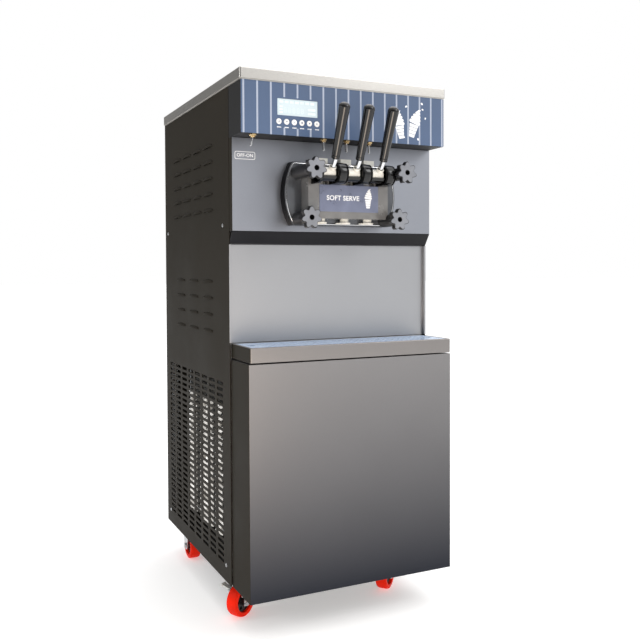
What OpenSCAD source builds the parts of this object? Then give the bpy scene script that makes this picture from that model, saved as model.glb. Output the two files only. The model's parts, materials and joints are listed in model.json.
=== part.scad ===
// Floor-standing soft-serve ice cream maker, two flavours and a twist.
// Millimetres. +X to the operator's right when facing the front, +Y to the back, +Z up.
// The origin is on the floor, under the middle of the bounding box.

/* [Cabinet] */
// Width over the two side panels
body_w = 534; // [524:1:534]
// Width of the top lid
lid_w = 540; // [538:1:544]
// Height of the lid's top above the floor
total_h = 1280; // [1276:1:1290]
// Height of the cabinet's underside above the floor
under_z = 91; // [91:1:95]
// Distance from the origin to the back plane, and to the grips' foremost point
half_d = 392; // [390:1:396]
// Height of the lid's skirt
lid_h = 25; // [20:1:30]
// Thickness of the sheet metal
sheet = 2; // [1:0.5:2]

/* [Front] */
// Front plane of the control head
head_y = -266; // [-268:1:-262]
// Front plane of the panel behind the door
panel_y = -202; // [-206:1:-200]
// Front plane of the splash panel
splash_y = -174; // [-176:1:-172]
// Front plane of the drip tray
tray_y = -302; // [-310:1:-300]
// Front plane of the lower front panel
skirt_y = -299; // [-300:1:-290]
// Where the side panels' front edges stop
seam_y = -181; // [-182:1:-180]
// Underside of the control head
head_z = 1135; // [1132:1:1138]
// Lower edge of the upper front panel
panel_z = 921; // [918:1:924]
// Lower edge of the sloping chin
chin_z = 892; // [888:1:896]
// Top of the drip tray
tray_z = 660; // [655:1:665]
// Height of the drip tray
tray_h = 34; // [30:1:38]

/* [Dispensing door] */
// Distance between neighbouring levers
lever_pitch = 62; // [61:1:63]
// Pivot rod: distance in front of the origin
pivot_y = -298; // [-298:1:-297]
// Pivot rod: height
pivot_z = 1051.5; // [1050:0.5:1053]
// Radius of the pivot rod
pivot_r = 5; // [4:0.5:5]
// Distance of the plungers' axes behind the pivot rod
finger_r = 55; // [54:1:56]
// Angle of the lever's finger below level when the spout is shut
finger_drop = 18; // [16:1:18]
// Radius of the plungers
plunger_r = 12; // [10:0.5:12]
// Radius of the door's round flange
flange_r = 147; // [145:1:150]
// Lowest and highest point of the flange
flange_z = [935, 1083];
// Width of the front block
block_w = 210; // [206:2:210]

/* [Controls] */
// Diameter of a key
key_d = 15; // [13:0.5:15]
// Distance between neighbouring keys
key_pitch = 18.9; // [18:0.1:20]
// Height of the row of keys
key_z = 1166; // [1160:1:1168]

/* [Casters] */
// Diameter of a wheel
wheel_d = 75; // [70:1:75]
// Width of a wheel
wheel_w = 30; // [24:1:32]
// Distance of a front wheel's axle behind its swivel axis
trail = 38; // [36:1:40]

/* [Hidden] */

$fn = 48;
gap = 0.3;
run_gap = 0.05;

half_w = body_w / 2;
deck_z = total_h - lid_h;
shelf_z = 640;

// Slots and louvres of the side panels: [Y, Z] of the middle one, pitches and counts
slot = [43, 7];
grille = [[110, 346.9], [61.6, 14.7], [8, 30]];
louvre = [74, 10];
upper_vent = [[116, 1056.5], [92.8, 39.3], [4, 5]];
lower_vent = [[104, 741.5], [122, 41], [3, 4]];

// Screws of the side panels, [Y, Z]
side_screws = [[-135, 936], [362, 936], [-146, 131], [354, 129]];

// Freezing cylinders
barrel_x = 66;
barrel_z = 1005;
barrel_r = 55;
barrel_wall = 4;
barrel_y = [-201.5, 110];
stud_r = 5;

// Door: block, ears and knobs
block_y = -268;
block_z = [950, 1045];
flange_y = -228;
port_z = 970;
plunger_y = pivot_y + finger_r;
lever_x = [-lever_pitch, 0, lever_pitch];
ear_r = 23.5;
hub_r = 14;
ears = [[-98, -90], [-53, -27], [9, 35], [71, 97]];
finger_z = pivot_z - finger_r * sin(finger_drop);
// Grip, measured from the pivot: [Y, Z] of its foot and of the centre of its round head
grip_foot = [-32, 39];
grip_head_r = 12;
grip_head = [grip_head_r - half_d - pivot_y, 147];
knob_top = [116.7, 1056.4];
knob_bottom = [114.7, 949];
knob_lobe_r = 6;
knob_sleeve_r = 15;
knob_thick = 14;

// Controls
toggle_x = [-235, -60, 0, 60];
toggle_y = -256;
toggle_pivot_z = head_z - 3;
toggle_tilt = 12;
bush_r = 5.5;
lcd_x = [-179.5, -80];
lcd_z = [1180.3, 1217.5];

// Casters: the front ones swivel, the rear ones do not
front_swivel = [196, -118];
rear_wheel = [222, 292];
left_heading = 210;
right_heading = 221;
wheel_r = wheel_d / 2;
axle_r = 4;
leg_s = wheel_w / 2 + 2;
pedal_z = 58;

// Condenser and fan
condenser_x = [-252, -206];
condenser_y = [-120, 200];
condenser_z = [190, 570];
fan_c = [-176, 40, 380];

steel = "#c9c7c2";
dark = "#3b3a38";
titanium = "#8f9196";
black = "#17181a";
white = "#f1f0ea";
copper = "#b87043";

// A box between two corners
module span(a, b) {
  translate(a)
    cube(b - a);
}

// Copies of the children at plus and minus x
module both_sides(x) {
  for (s = [-1, 1])
    translate([s * x, 0, 0])
      children();
}

// A rectangular field of centred children, f = [centre, pitch, count], in the XY plane
module field(f) {
  for (i = [0 : f[2][0] - 1], j = [0 : f[2][1] - 1])
    translate([f[0][0] + (i - (f[2][0] - 1) / 2) * f[1][0],
               f[0][1] + (j - (f[2][1] - 1) / 2) * f[1][1]])
      children();
}

// A cylinder along Y between two values of Y
module rod_y(r, y) {
  translate([0, y[0], 0])
    rotate([-90, 0, 0])
      cylinder(r = r, h = y[1] - y[0]);
}

// A cylinder along X between two values of X
module rod_x(r, x) {
  translate([x[0], 0, 0])
    rotate([0, 90, 0])
      cylinder(r = r, h = x[1] - x[0]);
}

// ---------------------------------------------------------------- chassis

module base_pan() {
  rim = 20;
  inset = half_w - sheet - 1;
  y = [splash_y + 2, half_d - 6];
  color(dark)
    difference() {
      span([-inset, y[0], under_z], [inset, y[1], under_z + rim]);
      span([sheet - inset, y[0] + sheet, under_z + sheet],
           [inset - sheet, y[1] - sheet, under_z + rim + 1]);
    }
}

module inner_frame() {
  leg = 25;
  x = half_w - sheet - 4;
  y = [splash_y + 6, half_d - 10];
  foot = under_z + sheet;
  color("#b9b9b6") {
    for (sx = [-1, 1], k = [0, 1])
      translate([sx * x, y[k], foot])
        mirror([sx > 0 ? 1 : 0, 0, 0])
          mirror([0, k, 0])
            difference() {
              cube([leg, leg, deck_z - 2 * sheet - foot]);
              translate([sheet, sheet, -1])
                cube([leg, leg, deck_z]);
            }
    span([leg + 3 - x, y[0], shelf_z], [x - leg - 3, y[1], shelf_z + sheet]);
    bulkhead();
  }
}

// Upright plate that carries the freezing cylinders and the door's studs, with an arm to each post
module bulkhead() {
  x = half_w - sheet - 4 - 25;
  y = panel_y + 4;
  difference() {
    span([-x, y, panel_z + 4], [x, y + 3, head_z - 5]);
    both_sides(barrel_x)
      translate([0, 0, barrel_z])
        rod_y(barrel_r + gap, [y - 1, y + 4]);
  }
  both_sides(x - 1 - gap)
    span([-1, y + 3, barrel_z - 60], [1, y + 50, barrel_z + 60]);
}

module top_deck() {
  color(steel)
    difference() {
      span([-half_w - 1, head_y, deck_z - sheet], [half_w + 1, half_d - 2, deck_z]);
      both_sides(122)
        span([-108, -120, deck_z - 5], [108, 210, deck_z + 1]);
    }
}

module hoppers() {
  wall = 1.5;
  floor_z = 1095;
  tube_y = -90;
  color(steel)
    both_sides(122) {
      difference() {
        union() {
          span([-107, -119, floor_z], [107, 209, deck_z + wall]);
          span([-114, -126, deck_z], [114, 216, deck_z + wall]);
        }
        span([wall - 107, wall - 119, floor_z + wall], [107 - wall, 209 - wall, deck_z + 5]);
        translate([0, tube_y, floor_z - 1])
          cylinder(r = 11.3, h = 5);
      }
      translate([0, tube_y, floor_z - 28])
        difference() {
          cylinder(r = 11, h = 130);
          translate([0, 0, -1])
            cylinder(r = 7, h = 132);
        }
    }
}

// ---------------------------------------------------------------- freezing

module freezing_cylinders() {
  flange = 3;
  color(steel)
    both_sides(barrel_x)
      translate([0, 0, barrel_z])
        difference() {
          union() {
            rod_y(barrel_r, barrel_y);
            rod_y(barrel_r + 9, [panel_y + 7 + gap, panel_y + 7 + gap + flange]);
          }
          rod_y(barrel_r - barrel_wall, [barrel_y[0] - 1, barrel_y[1] - 6]);
          rod_y(10, [barrel_y[1] - 10, barrel_y[1] + 1]);
        }
}

module beater(x) {
  r = barrel_r - barrel_wall - 1;
  y = [barrel_y[0] + 14, barrel_y[1] - 14];
  ring = 8;
  color(white)
    translate([x, 0, barrel_z]) {
      rod_y(7, [y[0] - 8, barrel_y[1] + 12]);
      for (a = [0, 180])
        rotate([0, a, 0])
          span([-3, y[0] + 1, r - 8], [3, y[1] - 1, r - 1]);
      for (k = [0 : 4])
        translate([0, y[0] + k * (y[1] - y[0] - ring) / 4, 0])
          rotate([0, 36 * k, 0]) {
            difference() {
              rod_y(r - 3, [0, ring]);
              rod_y(r - 10, [-1, ring + 1]);
            }
            span([-4, 1.5, 6 - r], [4, ring - 1.5, r - 6]);
          }
    }
}

module gear_motors() {
  box = 100;
  y0 = barrel_y[1] + 14;
  color("#5a5d60")
    both_sides(barrel_x)
      translate([0, y0, barrel_z]) {
        span([-box / 2, 0, -box / 2], [box / 2, 90, box / 2]);
        rod_y(44, [90, 215]);
        rod_y(30, [215, 228]);
      }
}

module compressor() {
  r = 92;
  dome = 30;
  z0 = under_z + sheet;
  color(black)
    translate([110, 60, 0]) {
      for (a = [45 : 90 : 315])
        rotate([0, 0, a])
          translate([r + 8, 0, z0])
            cylinder(r = 14, h = 16);
      translate([0, 0, z0 + 16])
        rotate_extrude($fn = 64)
          polygon([[0, 0], [r + 20, 0], [r + 20, 4], [r, 4], [r, 210], [r - 14, 210 + dome * 0.7],
                   [r - 48, 210 + dome], [0, 210 + dome]]);
      translate([0, 0, z0 + 90])
        span([-30, -r - 22, 0], [30, 10 - r, 62]);
    }
}

module condenser() {
  plate = 6;
  fin_pitch = 12;
  fins = floor((condenser_y[1] - condenser_y[0] - 2 * plate) / fin_pitch);
  x = condenser_x;
  y = condenser_y;
  z = condenser_z;
  color("#d9dadb") {
    span([x[0], y[0], z[0]], [x[1], y[0] + plate, z[1]]);
    span([x[0], y[1] - plate, z[0]], [x[1], y[1], z[1]]);
    span([x[0], y[0] + plate, z[0]], [x[1], y[1] - plate, z[0] + 3]);
    span([x[0], y[0] + plate, z[1] - 3], [x[1], y[1] - plate, z[1]]);
    span([x[0] + 12, y[0] + plate, z[0] + 3], [x[1] - 4, y[1] - plate, z[1] - 3]);
    for (k = [1 : fins - 1])
      span([x[0], y[0] + plate + k * fin_pitch, z[0] + 3],
           [x[0] + 12, y[0] + plate + k * fin_pitch + 1.5, z[1] - 3]);
  }
  color(dark) {
    difference() {
      span([x[1], y[0], z[0]], [x[1] + 3, y[1], z[1]]);
      translate([0, fan_c[1], fan_c[2]])
        rod_x(130, [x[1] - 1, x[1] + 4]);
    }
    fan_bracket();
  }
}

// Three arms from the shroud to the fan motor
module fan_bracket() {
  motor_x = fan_c[0] + 22;
  translate([0, fan_c[1], fan_c[2]]) {
    rod_x(38, [motor_x, motor_x + 60]);
    for (a = [0, 120, 240])
      rotate([a, 0, 0]) {
        span([motor_x, -6, 30], [motor_x + 4, 6, 142]);
        span([condenser_x[1] + 3, -6, 138], [motor_x, 6, 142]);
      }
  }
}

module fan_rotor() {
  color("#c9cbcc")
    translate(fan_c) {
      difference() {
        rod_x(32, [-14, 14]);
        rod_x(4, [4, 20]);
      }
      for (k = [0 : 4])
        rotate([72 * k, 0, 0])
          translate([0, 0, 28])
            rotate([0, 0, 28])
              span([-1.5, -34, 0], [1.5, 34, 92]);
    }
}

module copper_lines() {
  tube_r = 5;
  turns = 8;
  pitch = 32;
  ring_r = barrel_r + tube_r + 1;
  color(copper) {
    both_sides(barrel_x)
      for (k = [0 : turns - 1])
        translate([0, barrel_y[0] + 48 + k * pitch, barrel_z])
          rotate([90, 0, 0])
            rotate_extrude()
              translate([ring_r, 0])
                circle(r = tube_r);
    // Suction line from the cylinders down to the compressor
    translate([0, 96, 0]) {
      translate([0, 0, 345])
        cylinder(r = tube_r, h = shelf_z - 350);
      translate([0, 0, shelf_z + 8])
        cylinder(r = tube_r, h = 290);
    }
    // Discharge line from the compressor over to the condenser
    translate([0, 150, 0]) {
      translate([110, 0, 330])
        cylinder(r = 4, h = 250);
      translate([110, 0, 580])
        sphere(r = 4);
      translate([0, 0, 580])
        rod_x(4, [-228, 110]);
      translate([-228, 0, 580])
        sphere(r = 4);
    }
  }
}

module electrical_box() {
  color("#8d9094")
    span([84, 262, 400], [232, 352, 600]);
  // Cable gland in the rear panel
  color(black)
    translate([190, 0, 180])
      difference() {
        union() {
          rod_y(11, [half_d - 18, half_d - 1.2]);
          rod_y(16, [half_d - 10, half_d - 4 - gap]);
        }
        rod_y(6, [half_d - 20, half_d]);
      }
}

// ---------------------------------------------------------------- control head

module key_row() {
  for (k = [0 : 5])
    translate([-176 + k * key_pitch, 0, key_z])
      children();
}

module head_shell() {
  x = half_w - 0.5;
  y = [head_y + sheet, seam_y - 0.5];
  color(titanium)
    difference() {
      span([-x, y[0], head_z], [x, y[1], deck_z - sheet]);
      span([sheet - x, y[0] + sheet, head_z + sheet], [x - sheet, y[1] + 1, deck_z]);
      key_row()
        rod_y(key_d / 2 + gap, [head_y - 1, head_y + 8]);
      span([lcd_x[0] - gap, head_y - 1, lcd_z[0] - gap], [lcd_x[1] + gap, head_y + 8, lcd_z[1] + gap]);
      for (x = toggle_x)
        translate([x, toggle_y, head_z - 1])
          cylinder(r = bush_r + gap, h = 5);
    }
}

module control_fascia() {
  x = half_w - 0.5;
  color("#6d7f9c")
    difference() {
      span([-x, head_y, head_z + 0.5], [x, head_y + sheet, deck_z - sheet - 0.5]);
      key_row()
        rod_y(key_d / 2 + gap, [head_y - 1, head_y + 8]);
      span([lcd_x[0] - gap, head_y - 1, lcd_z[0] - gap], [lcd_x[1] + gap, head_y + 8, lcd_z[1] + gap]);
    }
}

module display_module() {
  color("#dfe8e6")
    span([lcd_x[0], head_y + 0.6, lcd_z[0]], [lcd_x[1], head_y + 9, lcd_z[1]]);
  color("#2f6b45")
    span([-200, head_y + 9, 1148], [-72, head_y + 11, 1236]);
}

// A key cap with the collar that holds it behind the shell
module key_cap(k) {
  color(white)
    translate([-176 + (k - 1) * key_pitch, 0, key_z]) {
      rod_y(key_d / 2, [head_y - 0.8, head_y + 7.5]);
      rod_y(key_d / 2 + 1.3, [head_y + 2 * sheet + gap, head_y + 6]);
    }
}

module switch_bodies() {
  for (x = toggle_x)
    translate([x, toggle_y, 0]) {
      color(black)
        span([-7, -5.5, head_z + sheet], [7, 15.5, head_z + 26]);
      color("#c8a24b")
        difference() {
          union() {
            translate([0, 0, head_z - 8])
              cylinder(r = bush_r, h = 8 + sheet);
            translate([0, 0, head_z - 4])
              cylinder(r = 9, h = 3.8, $fn = 6);
          }
          translate([0, 0, head_z - 9])
            cylinder(r = 4.6, h = 11);
        }
    }
}

// A bat lever hanging from its pivot, tilted by the angle given
module toggle(k, tilt) {
  color(steel)
    translate([toggle_x[k], toggle_y, toggle_pivot_z])
      rotate([0, tilt, 0]) {
        translate([0, 0, -12])
          cylinder(r = 2, h = 13);
        translate([0, 0, -25])
          cylinder(r1 = 2.8, r2 = 2.2, h = 14);
        rod_y(1.5, [-4, 4]);
      }
}

// ---------------------------------------------------------------- covers

module top_lid() {
  wall = 3;
  y = [-268, half_d];
  color(steel)
    difference() {
      span([-lid_w / 2, y[0], deck_z + 0.2], [lid_w / 2, y[1], total_h]);
      span([wall - lid_w / 2, y[0] + wall, deck_z - 1],
           [lid_w / 2 - wall, y[1] - wall, total_h - sheet]);
    }
}

module upper_front_panel() {
  x = half_w - 0.5;
  color(titanium)
    difference() {
      span([-x, panel_y, panel_z], [x, seam_y - 0.5, head_z - gap]);
      span([sheet - x, panel_y + sheet, panel_z - 1], [x - sheet, seam_y + 1, head_z + 1]);
      span([-124, panel_y - 1, flange_z[0] + 6], [124, panel_y + 5, flange_z[1] - 12]);
    }
}

// Splash panel with the sloping chin above it
module splash_panel() {
  x = half_w - sheet - 0.5;
  color(titanium)
    span([-x, splash_y, tray_z + 1], [x, splash_y + sheet, chin_z - 2]);
  color("#2e2e33") {
    chin(half_w - 0.5, [[panel_y, panel_z - gap], [seam_y - 1, chin_z], [seam_y - 1, chin_z + 3],
                        [panel_y + 3, panel_z - gap]]);
    chin(x, [[seam_y - 1.5, chin_z], [splash_y, chin_z - 2], [splash_y, chin_z + 1],
             [seam_y - 1.5, chin_z + 3]]);
  }
}

// A folded strip with the section given in the YZ plane, from -x to x
module chin(x, section) {
  rotate([90, 0, 90])
    translate([0, 0, -x])
      linear_extrude(2 * x)
        polygon(section);
}

// Side panel in the YZ plane: a plate with slots, louvres and screw holes
module side_plate() {
  difference() {
    translate([seam_y, under_z])
      square([half_d - 2 - seam_y, deck_z - sheet - 0.5 - under_z]);
    field(grille)
      square(slot, center = true);
    field(upper_vent)
      square(louvre - [0, 4], center = true);
    field(lower_vent)
      square(louvre - [0, 4], center = true);
    for (p = side_screws)
      translate(p)
        circle(r = 2.3);
  }
}

module side_panel() {
  rotate([90, 0, 90])
    linear_extrude(sheet)
      side_plate();
}

module left_side_panel() {
  color(dark)
    translate([-half_w, 0, 0])
      side_panel();
}

module right_side_panel() {
  color(dark)
    translate([half_w - sheet, 0, 0])
      side_panel();
}

module rear_panel() {
  x = half_w - sheet - 0.5;
  y = half_d - 4;
  color(dark)
    translate([0, y + sheet, 0])
      rotate([90, 0, 0])
        linear_extrude(sheet)
          difference() {
            translate([-x, under_z])
              square([2 * x, deck_z - sheet - 0.5 - under_z]);
            field([[0, 360], [60, 14.7], [7, 16]])
              square(slot, center = true);
            field([[0, 1060], [110, 39], [4, 4]])
              square([80, 6], center = true);
            translate([190, 180])
              circle(r = 11 + gap);
          }
}

// Box-shaped cover of the machine compartment, open at the back
module lower_front_panel() {
  x = half_w - 3;
  y = [skirt_y, seam_y - 0.5];
  z = [under_z + 0.5, tray_z - tray_h - 3];
  color(titanium)
    difference() {
      span([-x, y[0], z[0]], [x, y[1], z[1]]);
      span([sheet - x, y[0] + sheet, z[0] + sheet], [x - sheet, y[1] + 1, z[1] - sheet]);
    }
}

// ---------------------------------------------------------------- dispensing door

module at_levers() {
  for (x = lever_x)
    translate([x, plunger_y, 0])
      children();
}

module dispensing_door() {
  mid_z = (flange_z[0] + flange_z[1]) / 2;
  color(black)
    difference() {
      union() {
        translate([0, panel_y, 0])
          rotate([90, 0, 0])
            linear_extrude(panel_y - flange_y)
              intersection() {
                translate([0, mid_z])
                  circle(r = flange_r, $fn = 96);
                translate([-flange_r, flange_z[0]])
                  square([2 * flange_r, flange_z[1] - flange_z[0]]);
              }
        span([-block_w / 2, block_y, block_z[0]], [block_w / 2, flange_y + 1, block_z[1]]);
        at_levers()
          translate([0, 0, block_z[0] + 10])
            cylinder(r = 17, h = block_z[1] - block_z[0] + 2);
        for (e = ears)
          translate([0, pivot_y, pivot_z]) {
            rod_x(ear_r, e);
            span([e[0], 4, -ear_r], [e[1], block_y - pivot_y + 4, -6.5]);
          }
      }
      at_levers() {
        translate([0, 0, block_z[0] - 1])
          cylinder(r = plunger_r + run_gap, h = 140);
        span([-6.5, -30, finger_z - 12], [6.5, 8, pivot_z + 20]);
      }
      for (x = [-lever_pitch, lever_pitch])
        translate([x, 0, port_z])
          rod_y(8, [plunger_y, panel_y + 1]);
      translate([0, pivot_y, pivot_z])
        rod_x(pivot_r + run_gap, [-110, 110]);
      translate([0, plunger_y, port_z])
        rod_x(6, [-lever_pitch, lever_pitch]);
      at_studs() {
        rod_y(stud_r + gap, [flange_y - 2, panel_y + 2]);
        rod_y(knob_sleeve_r + 1, [block_y - 5, flange_y]);
      }
    }
}

module at_studs() {
  for (p = [knob_top, knob_bottom], s = [-1, 1])
    translate([s * p[0], 0, p[1]])
      children();
}

module pivot_rod() {
  color(steel)
    translate([0, pivot_y, pivot_z])
      rod_x(pivot_r, [-99, 99]);
}

module door_studs() {
  color(steel)
    at_studs()
      rod_y(stud_r, [-262, panel_y + 4]);
}

// Hub, stem, grip and the finger that lifts the plunger, turned about the pivot rod
module lever(x) {
  grip = grip_head - grip_foot;
  tilt = atan2(-grip[0], grip[1]);
  stem_tilt = atan2(-grip_foot[0], grip_foot[1]);
  translate([x, pivot_y, pivot_z]) {
    color(steel)
      difference() {
        union() {
          rod_x(hub_r, [-24, 7]);
          rotate([stem_tilt, 0, 0])
            span([-5, -4, 10], [5, 4, norm(grip_foot) + 6]);
          rotate([-finger_drop, 0, 0]) {
            span([-4, 10, -3], [4, finger_r, 3]);
            translate([0, finger_r, 0])
              rod_x(5, [-5, 5]);
          }
        }
        rod_x(pivot_r + run_gap, [-40, 40]);
      }
    color(black)
      translate([0, grip_foot[0], grip_foot[1]])
        rotate([tilt, 0, 0]) {
          cylinder(r1 = 8.5, r2 = grip_head_r, h = norm(grip));
          translate([0, 0, norm(grip)])
            sphere(r = grip_head_r);
        }
  }
}

// Plunger: a bored-in shaft with two O-rings, a slot for the finger, a neck and a square cap
module plunger(x) {
  neck_z = 1062;
  cap = [1078, 1091];
  slot_h = 16;
  color(white)
    translate([x, plunger_y, 0])
      difference() {
        union() {
          translate([0, 0, block_z[0]])
            cylinder(r = plunger_r, h = neck_z - block_z[0]);
          translate([0, 0, neck_z - 1])
            cylinder(r = 9, h = cap[0] - neck_z + 2);
          span([-14, -9.5, cap[0]], [14, 13.5, cap[1]]);
        }
        span([-5.6, -20, finger_z - slot_h / 2], [5.6, 9, finger_z + slot_h / 2]);
        for (z = [block_z[0] + 4, block_z[0] + 35])
          translate([0, 0, z])
            difference() {
              cylinder(r = plunger_r + 1, h = 3);
              translate([0, 0, -1])
                cylinder(r = plunger_r - 1.5, h = 5);
            }
      }
}

module nozzles() {
  disc_z = block_z[0] - 12;
  color(white)
    at_levers()
      difference() {
        union() {
          translate([0, 0, disc_z + 4])
            cylinder(r = 10, h = 8 - gap);
          translate([0, 0, disc_z])
            cylinder(r = 14.5, h = 4.5);
          span([-22, -4, disc_z + 1], [-10, 4, disc_z + 3.5]);
        }
        translate([0, 0, disc_z - 1])
          cylinder(r = 6, h = 14);
      }
}

// Seven-lobed star knob on a long sleeve nut, front face at y
module star_knob(p, s, y) {
  color("#5d6066")
    translate([s * p[0], 0, p[1]])
      difference() {
        union() {
          translate([0, y + knob_thick, 0])
            rotate([90, 0, 0])
              linear_extrude(knob_thick)
                union() {
                  circle(r = 19);
                  for (k = [0 : 6])
                    rotate([0, 0, 90 + k * 360 / 7])
                      translate([26 - knob_lobe_r, 0])
                        circle(r = knob_lobe_r);
                }
          rod_y(knob_sleeve_r, [y + knob_thick, flange_y - gap]);
        }
        rod_y(5.5, [y - 1, y + 9]);
        rod_y(stud_r + run_gap, [y + 20, flange_y + 1]);
      }
}

// ---------------------------------------------------------------- drip tray

module drip_tray() {
  x = half_w - 5.5;
  y = [tray_y, splash_y - 2];
  z = [tray_z - tray_h, tray_z];
  rim = 6;
  color(titanium)
    difference() {
      span([-x, y[0], z[0]], [x, y[1], z[1]]);
      span([rim + 6 - x, y[0] + rim + 5, z[0] + 3], [x - rim - 6, y[1] - rim - 5, z[1] + 1]);
      span([rim - x, y[0] + rim, z[1] - 4], [x - rim, y[1] - rim, z[1] + 1]);
    }
}

module drip_grille() {
  x = half_w - 5.5 - 6.5;
  y = [tray_y + 6.5, splash_y - 8.5];
  color("#b9c6d6")
    translate([0, 0, tray_z - 4 + 0.2])
      linear_extrude(3.4)
        difference() {
          translate([-x, y[0]])
            square([2 * x, y[1] - y[0]]);
          field([[0, (y[0] + y[1]) / 2], [15, 20], [29, 5]])
            square([10, 8], center = true);
          for (s = [-1, 1])
            translate([s * 236, (y[0] + y[1]) / 2])
              circle(r = 10);
        }
}

// ---------------------------------------------------------------- casters

// Places children in a front caster's own frame: +X is the heading of the wheel from the swivel
module front_caster(s, heading) {
  translate([s * front_swivel[0], front_swivel[1], 0])
    rotate([0, 0, heading])
      children();
}

module axle_y(r, y) {
  translate([trail, 0, wheel_r])
    rod_y(r, y);
}

module caster_plates() {
  plate_z = under_z - 3;
  color(steel) {
    both_sides(front_swivel[0])
      translate([0, front_swivel[1], 0])
        difference() {
          union() {
            span([-32, -40, plate_z], [32, 40, under_z]);
            translate([0, 0, plate_z - 5])
              cylinder(r = 22, h = 6);
          }
          translate([0, 0, plate_z - 6])
            cylinder(r = 6 + run_gap, h = 12);
        }
    both_sides(rear_wheel[0])
      translate([0, rear_wheel[1], 0]) {
        span([-28, -40, plate_z], [28, 40, under_z]);
        for (s = [-1, 1])
          translate([s * (leg_s + 1.5), 0, 0])
            rotate([90, 0, 90])
              translate([0, 0, -1.5])
                linear_extrude(3)
                  polygon([[-26, plate_z + 1], [26, plate_z + 1], [11, wheel_r - 6], [4, wheel_r - 11],
                           [-4, wheel_r - 11], [-11, wheel_r - 6]]);
        translate([0, 0, wheel_r]) {
          rod_x(axle_r, [-leg_s - 4, leg_s + 4]);
          both_sides(leg_s + 5)
            rod_x(7, [-2, 2]);
        }
      }
  }
}

module fork_body() {
  crown_z = under_z - 3 - 5 - gap;
  color(steel) {
    translate([0, 0, crown_z - 4])
      cylinder(r = 24, h = 4);
    translate([0, 0, crown_z - 1])
      cylinder(r = 6, h = 8);
    for (s = [-1, 1])
      translate([0, s * (leg_s + 1.5), 0])
        rotate([90, 0, 0])
          translate([0, 0, -1.5])
            linear_extrude(3)
              polygon([[-10, crown_z - 1], [14, crown_z - 1], [trail + 6, pedal_z + 6],
                       [trail + 19, pedal_z + 4], [trail + 19, pedal_z - 4], [trail + 9, pedal_z - 8],
                       [trail + 10, wheel_r - 8], [trail - 4, wheel_r - 11], [trail - 14, wheel_r]]);
    span([-10, -leg_s - 3, crown_z - 4], [10, leg_s + 3, crown_z]);
    axle_y(axle_r, [-leg_s - 4, leg_s + 4]);
    axle_y(7, [leg_s + 3, leg_s + 7]);
    axle_y(7, [-leg_s - 7, -leg_s - 3]);
  }
}

// Lug on the outer leg that the brake pedal turns on; d is +1 or -1, the side it stands on
module pedal_lug(d) {
  color(steel)
    translate([0, d * (leg_s + 9), pedal_z]) {
      rod_x(2.5, [trail - 8, trail + 16]);
      for (x = [trail - 8, trail + 12])
        span([x, d > 0 ? -7 : -2, -3], [x + 4, d > 0 ? 2 : 7, 3]);
    }
}

module pedal(d) {
  lug = [trail - 3.5, trail + 11.5];
  reach = 26;
  color(steel)
    translate([0, d * (leg_s + 9), pedal_z])
      difference() {
        union() {
          rod_x(5, lug);
          mirror([0, d < 0 ? 1 : 0, 0])
            rotate([12, 0, 0]) {
              span([lug[0] + 0.8, 3, 1], [lug[1] - 0.8, reach, 4]);
              translate([lug[0], reach, 2.5])
                rotate([0, 90, 0])
                  cylinder(r = 3.5, h = lug[1] - lug[0]);
            }
        }
        rod_x(2.5 + run_gap, [0, 100]);
      }
}

module wheel_solid() {
  hub_w = wheel_w / 2 - 4;
  half = wheel_w / 2;
  rotate_extrude($fn = 72)
    polygon([[axle_r + run_gap, -half - 1], [9, -half - 1], [10, -hub_w], [wheel_r - 11, -hub_w],
             [wheel_r - 9, -half], [wheel_r - 3, -half], [wheel_r, 3 - half], [wheel_r, half - 3],
             [wheel_r - 3, half], [wheel_r - 9, half], [wheel_r - 11, hub_w], [10, hub_w],
             [9, half + 1], [axle_r + run_gap, half + 1]]);
}

module front_wheel(s, heading) {
  color("#e8321c")
    front_caster(s, heading)
      translate([trail, 0, wheel_r])
        rotate([90, 0, 0])
          wheel_solid();
}

module rear_caster_wheel(s) {
  color("#e8321c")
    translate([s * rear_wheel[0], rear_wheel[1], wheel_r])
      rotate([0, 90, 0])
        wheel_solid();
}

// ---------------------------------------------------------------- fasteners

module screw() {
  cylinder(r = 2, h = 5);
  translate([0, 0, 5])
    cylinder(r = 4.5, h = 1.8);
}

module screws() {
  color("#d8d8d4")
    for (p = side_screws) {
      translate([-half_w + 5, p[0], p[1]])
        rotate([0, -90, 0])
          screw();
      translate([half_w - 5, p[0], p[1]])
        rotate([0, 90, 0])
          screw();
    }
}

base_pan();
inner_frame();
top_deck();
hoppers();
freezing_cylinders();
beater(-barrel_x);  // beater_left
beater(barrel_x);  // beater_right
gear_motors();
compressor();
condenser();
fan_rotor();
copper_lines();
electrical_box();
head_shell();
control_fascia();
display_module();
key_cap(1);  // key_1
key_cap(2);  // key_2
key_cap(3);  // key_3
key_cap(4);  // key_4
key_cap(5);  // key_5
key_cap(6);  // key_6
switch_bodies();
toggle(0, toggle_tilt);  // toggle_main
toggle(1, 0);  // toggle_1
toggle(2, 0);  // toggle_2
toggle(3, 0);  // toggle_3
top_lid();
upper_front_panel();
splash_panel();
left_side_panel();
right_side_panel();
rear_panel();
lower_front_panel();
dispensing_door();
pivot_rod();
lever(lever_x[0]);  // lever_left
lever(lever_x[1]);  // lever_middle
lever(lever_x[2]);  // lever_right
plunger(lever_x[0]);  // plunger_left
plunger(lever_x[1]);  // plunger_middle
plunger(lever_x[2]);  // plunger_right
nozzles();
star_knob(knob_top, -1, -340);  // knob_top_left
star_knob(knob_top, 1, -340);  // knob_top_right
star_knob(knob_bottom, -1, -309);  // knob_bottom_left
star_knob(knob_bottom, 1, -309);  // knob_bottom_right
door_studs();
drip_tray();
drip_grille();
caster_plates();
front_caster(-1, left_heading) {  // fork_front_left
  fork_body();
  pedal_lug(-1);
}
front_caster(1, right_heading) {  // fork_front_right
  fork_body();
  pedal_lug(-1);
}
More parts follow.
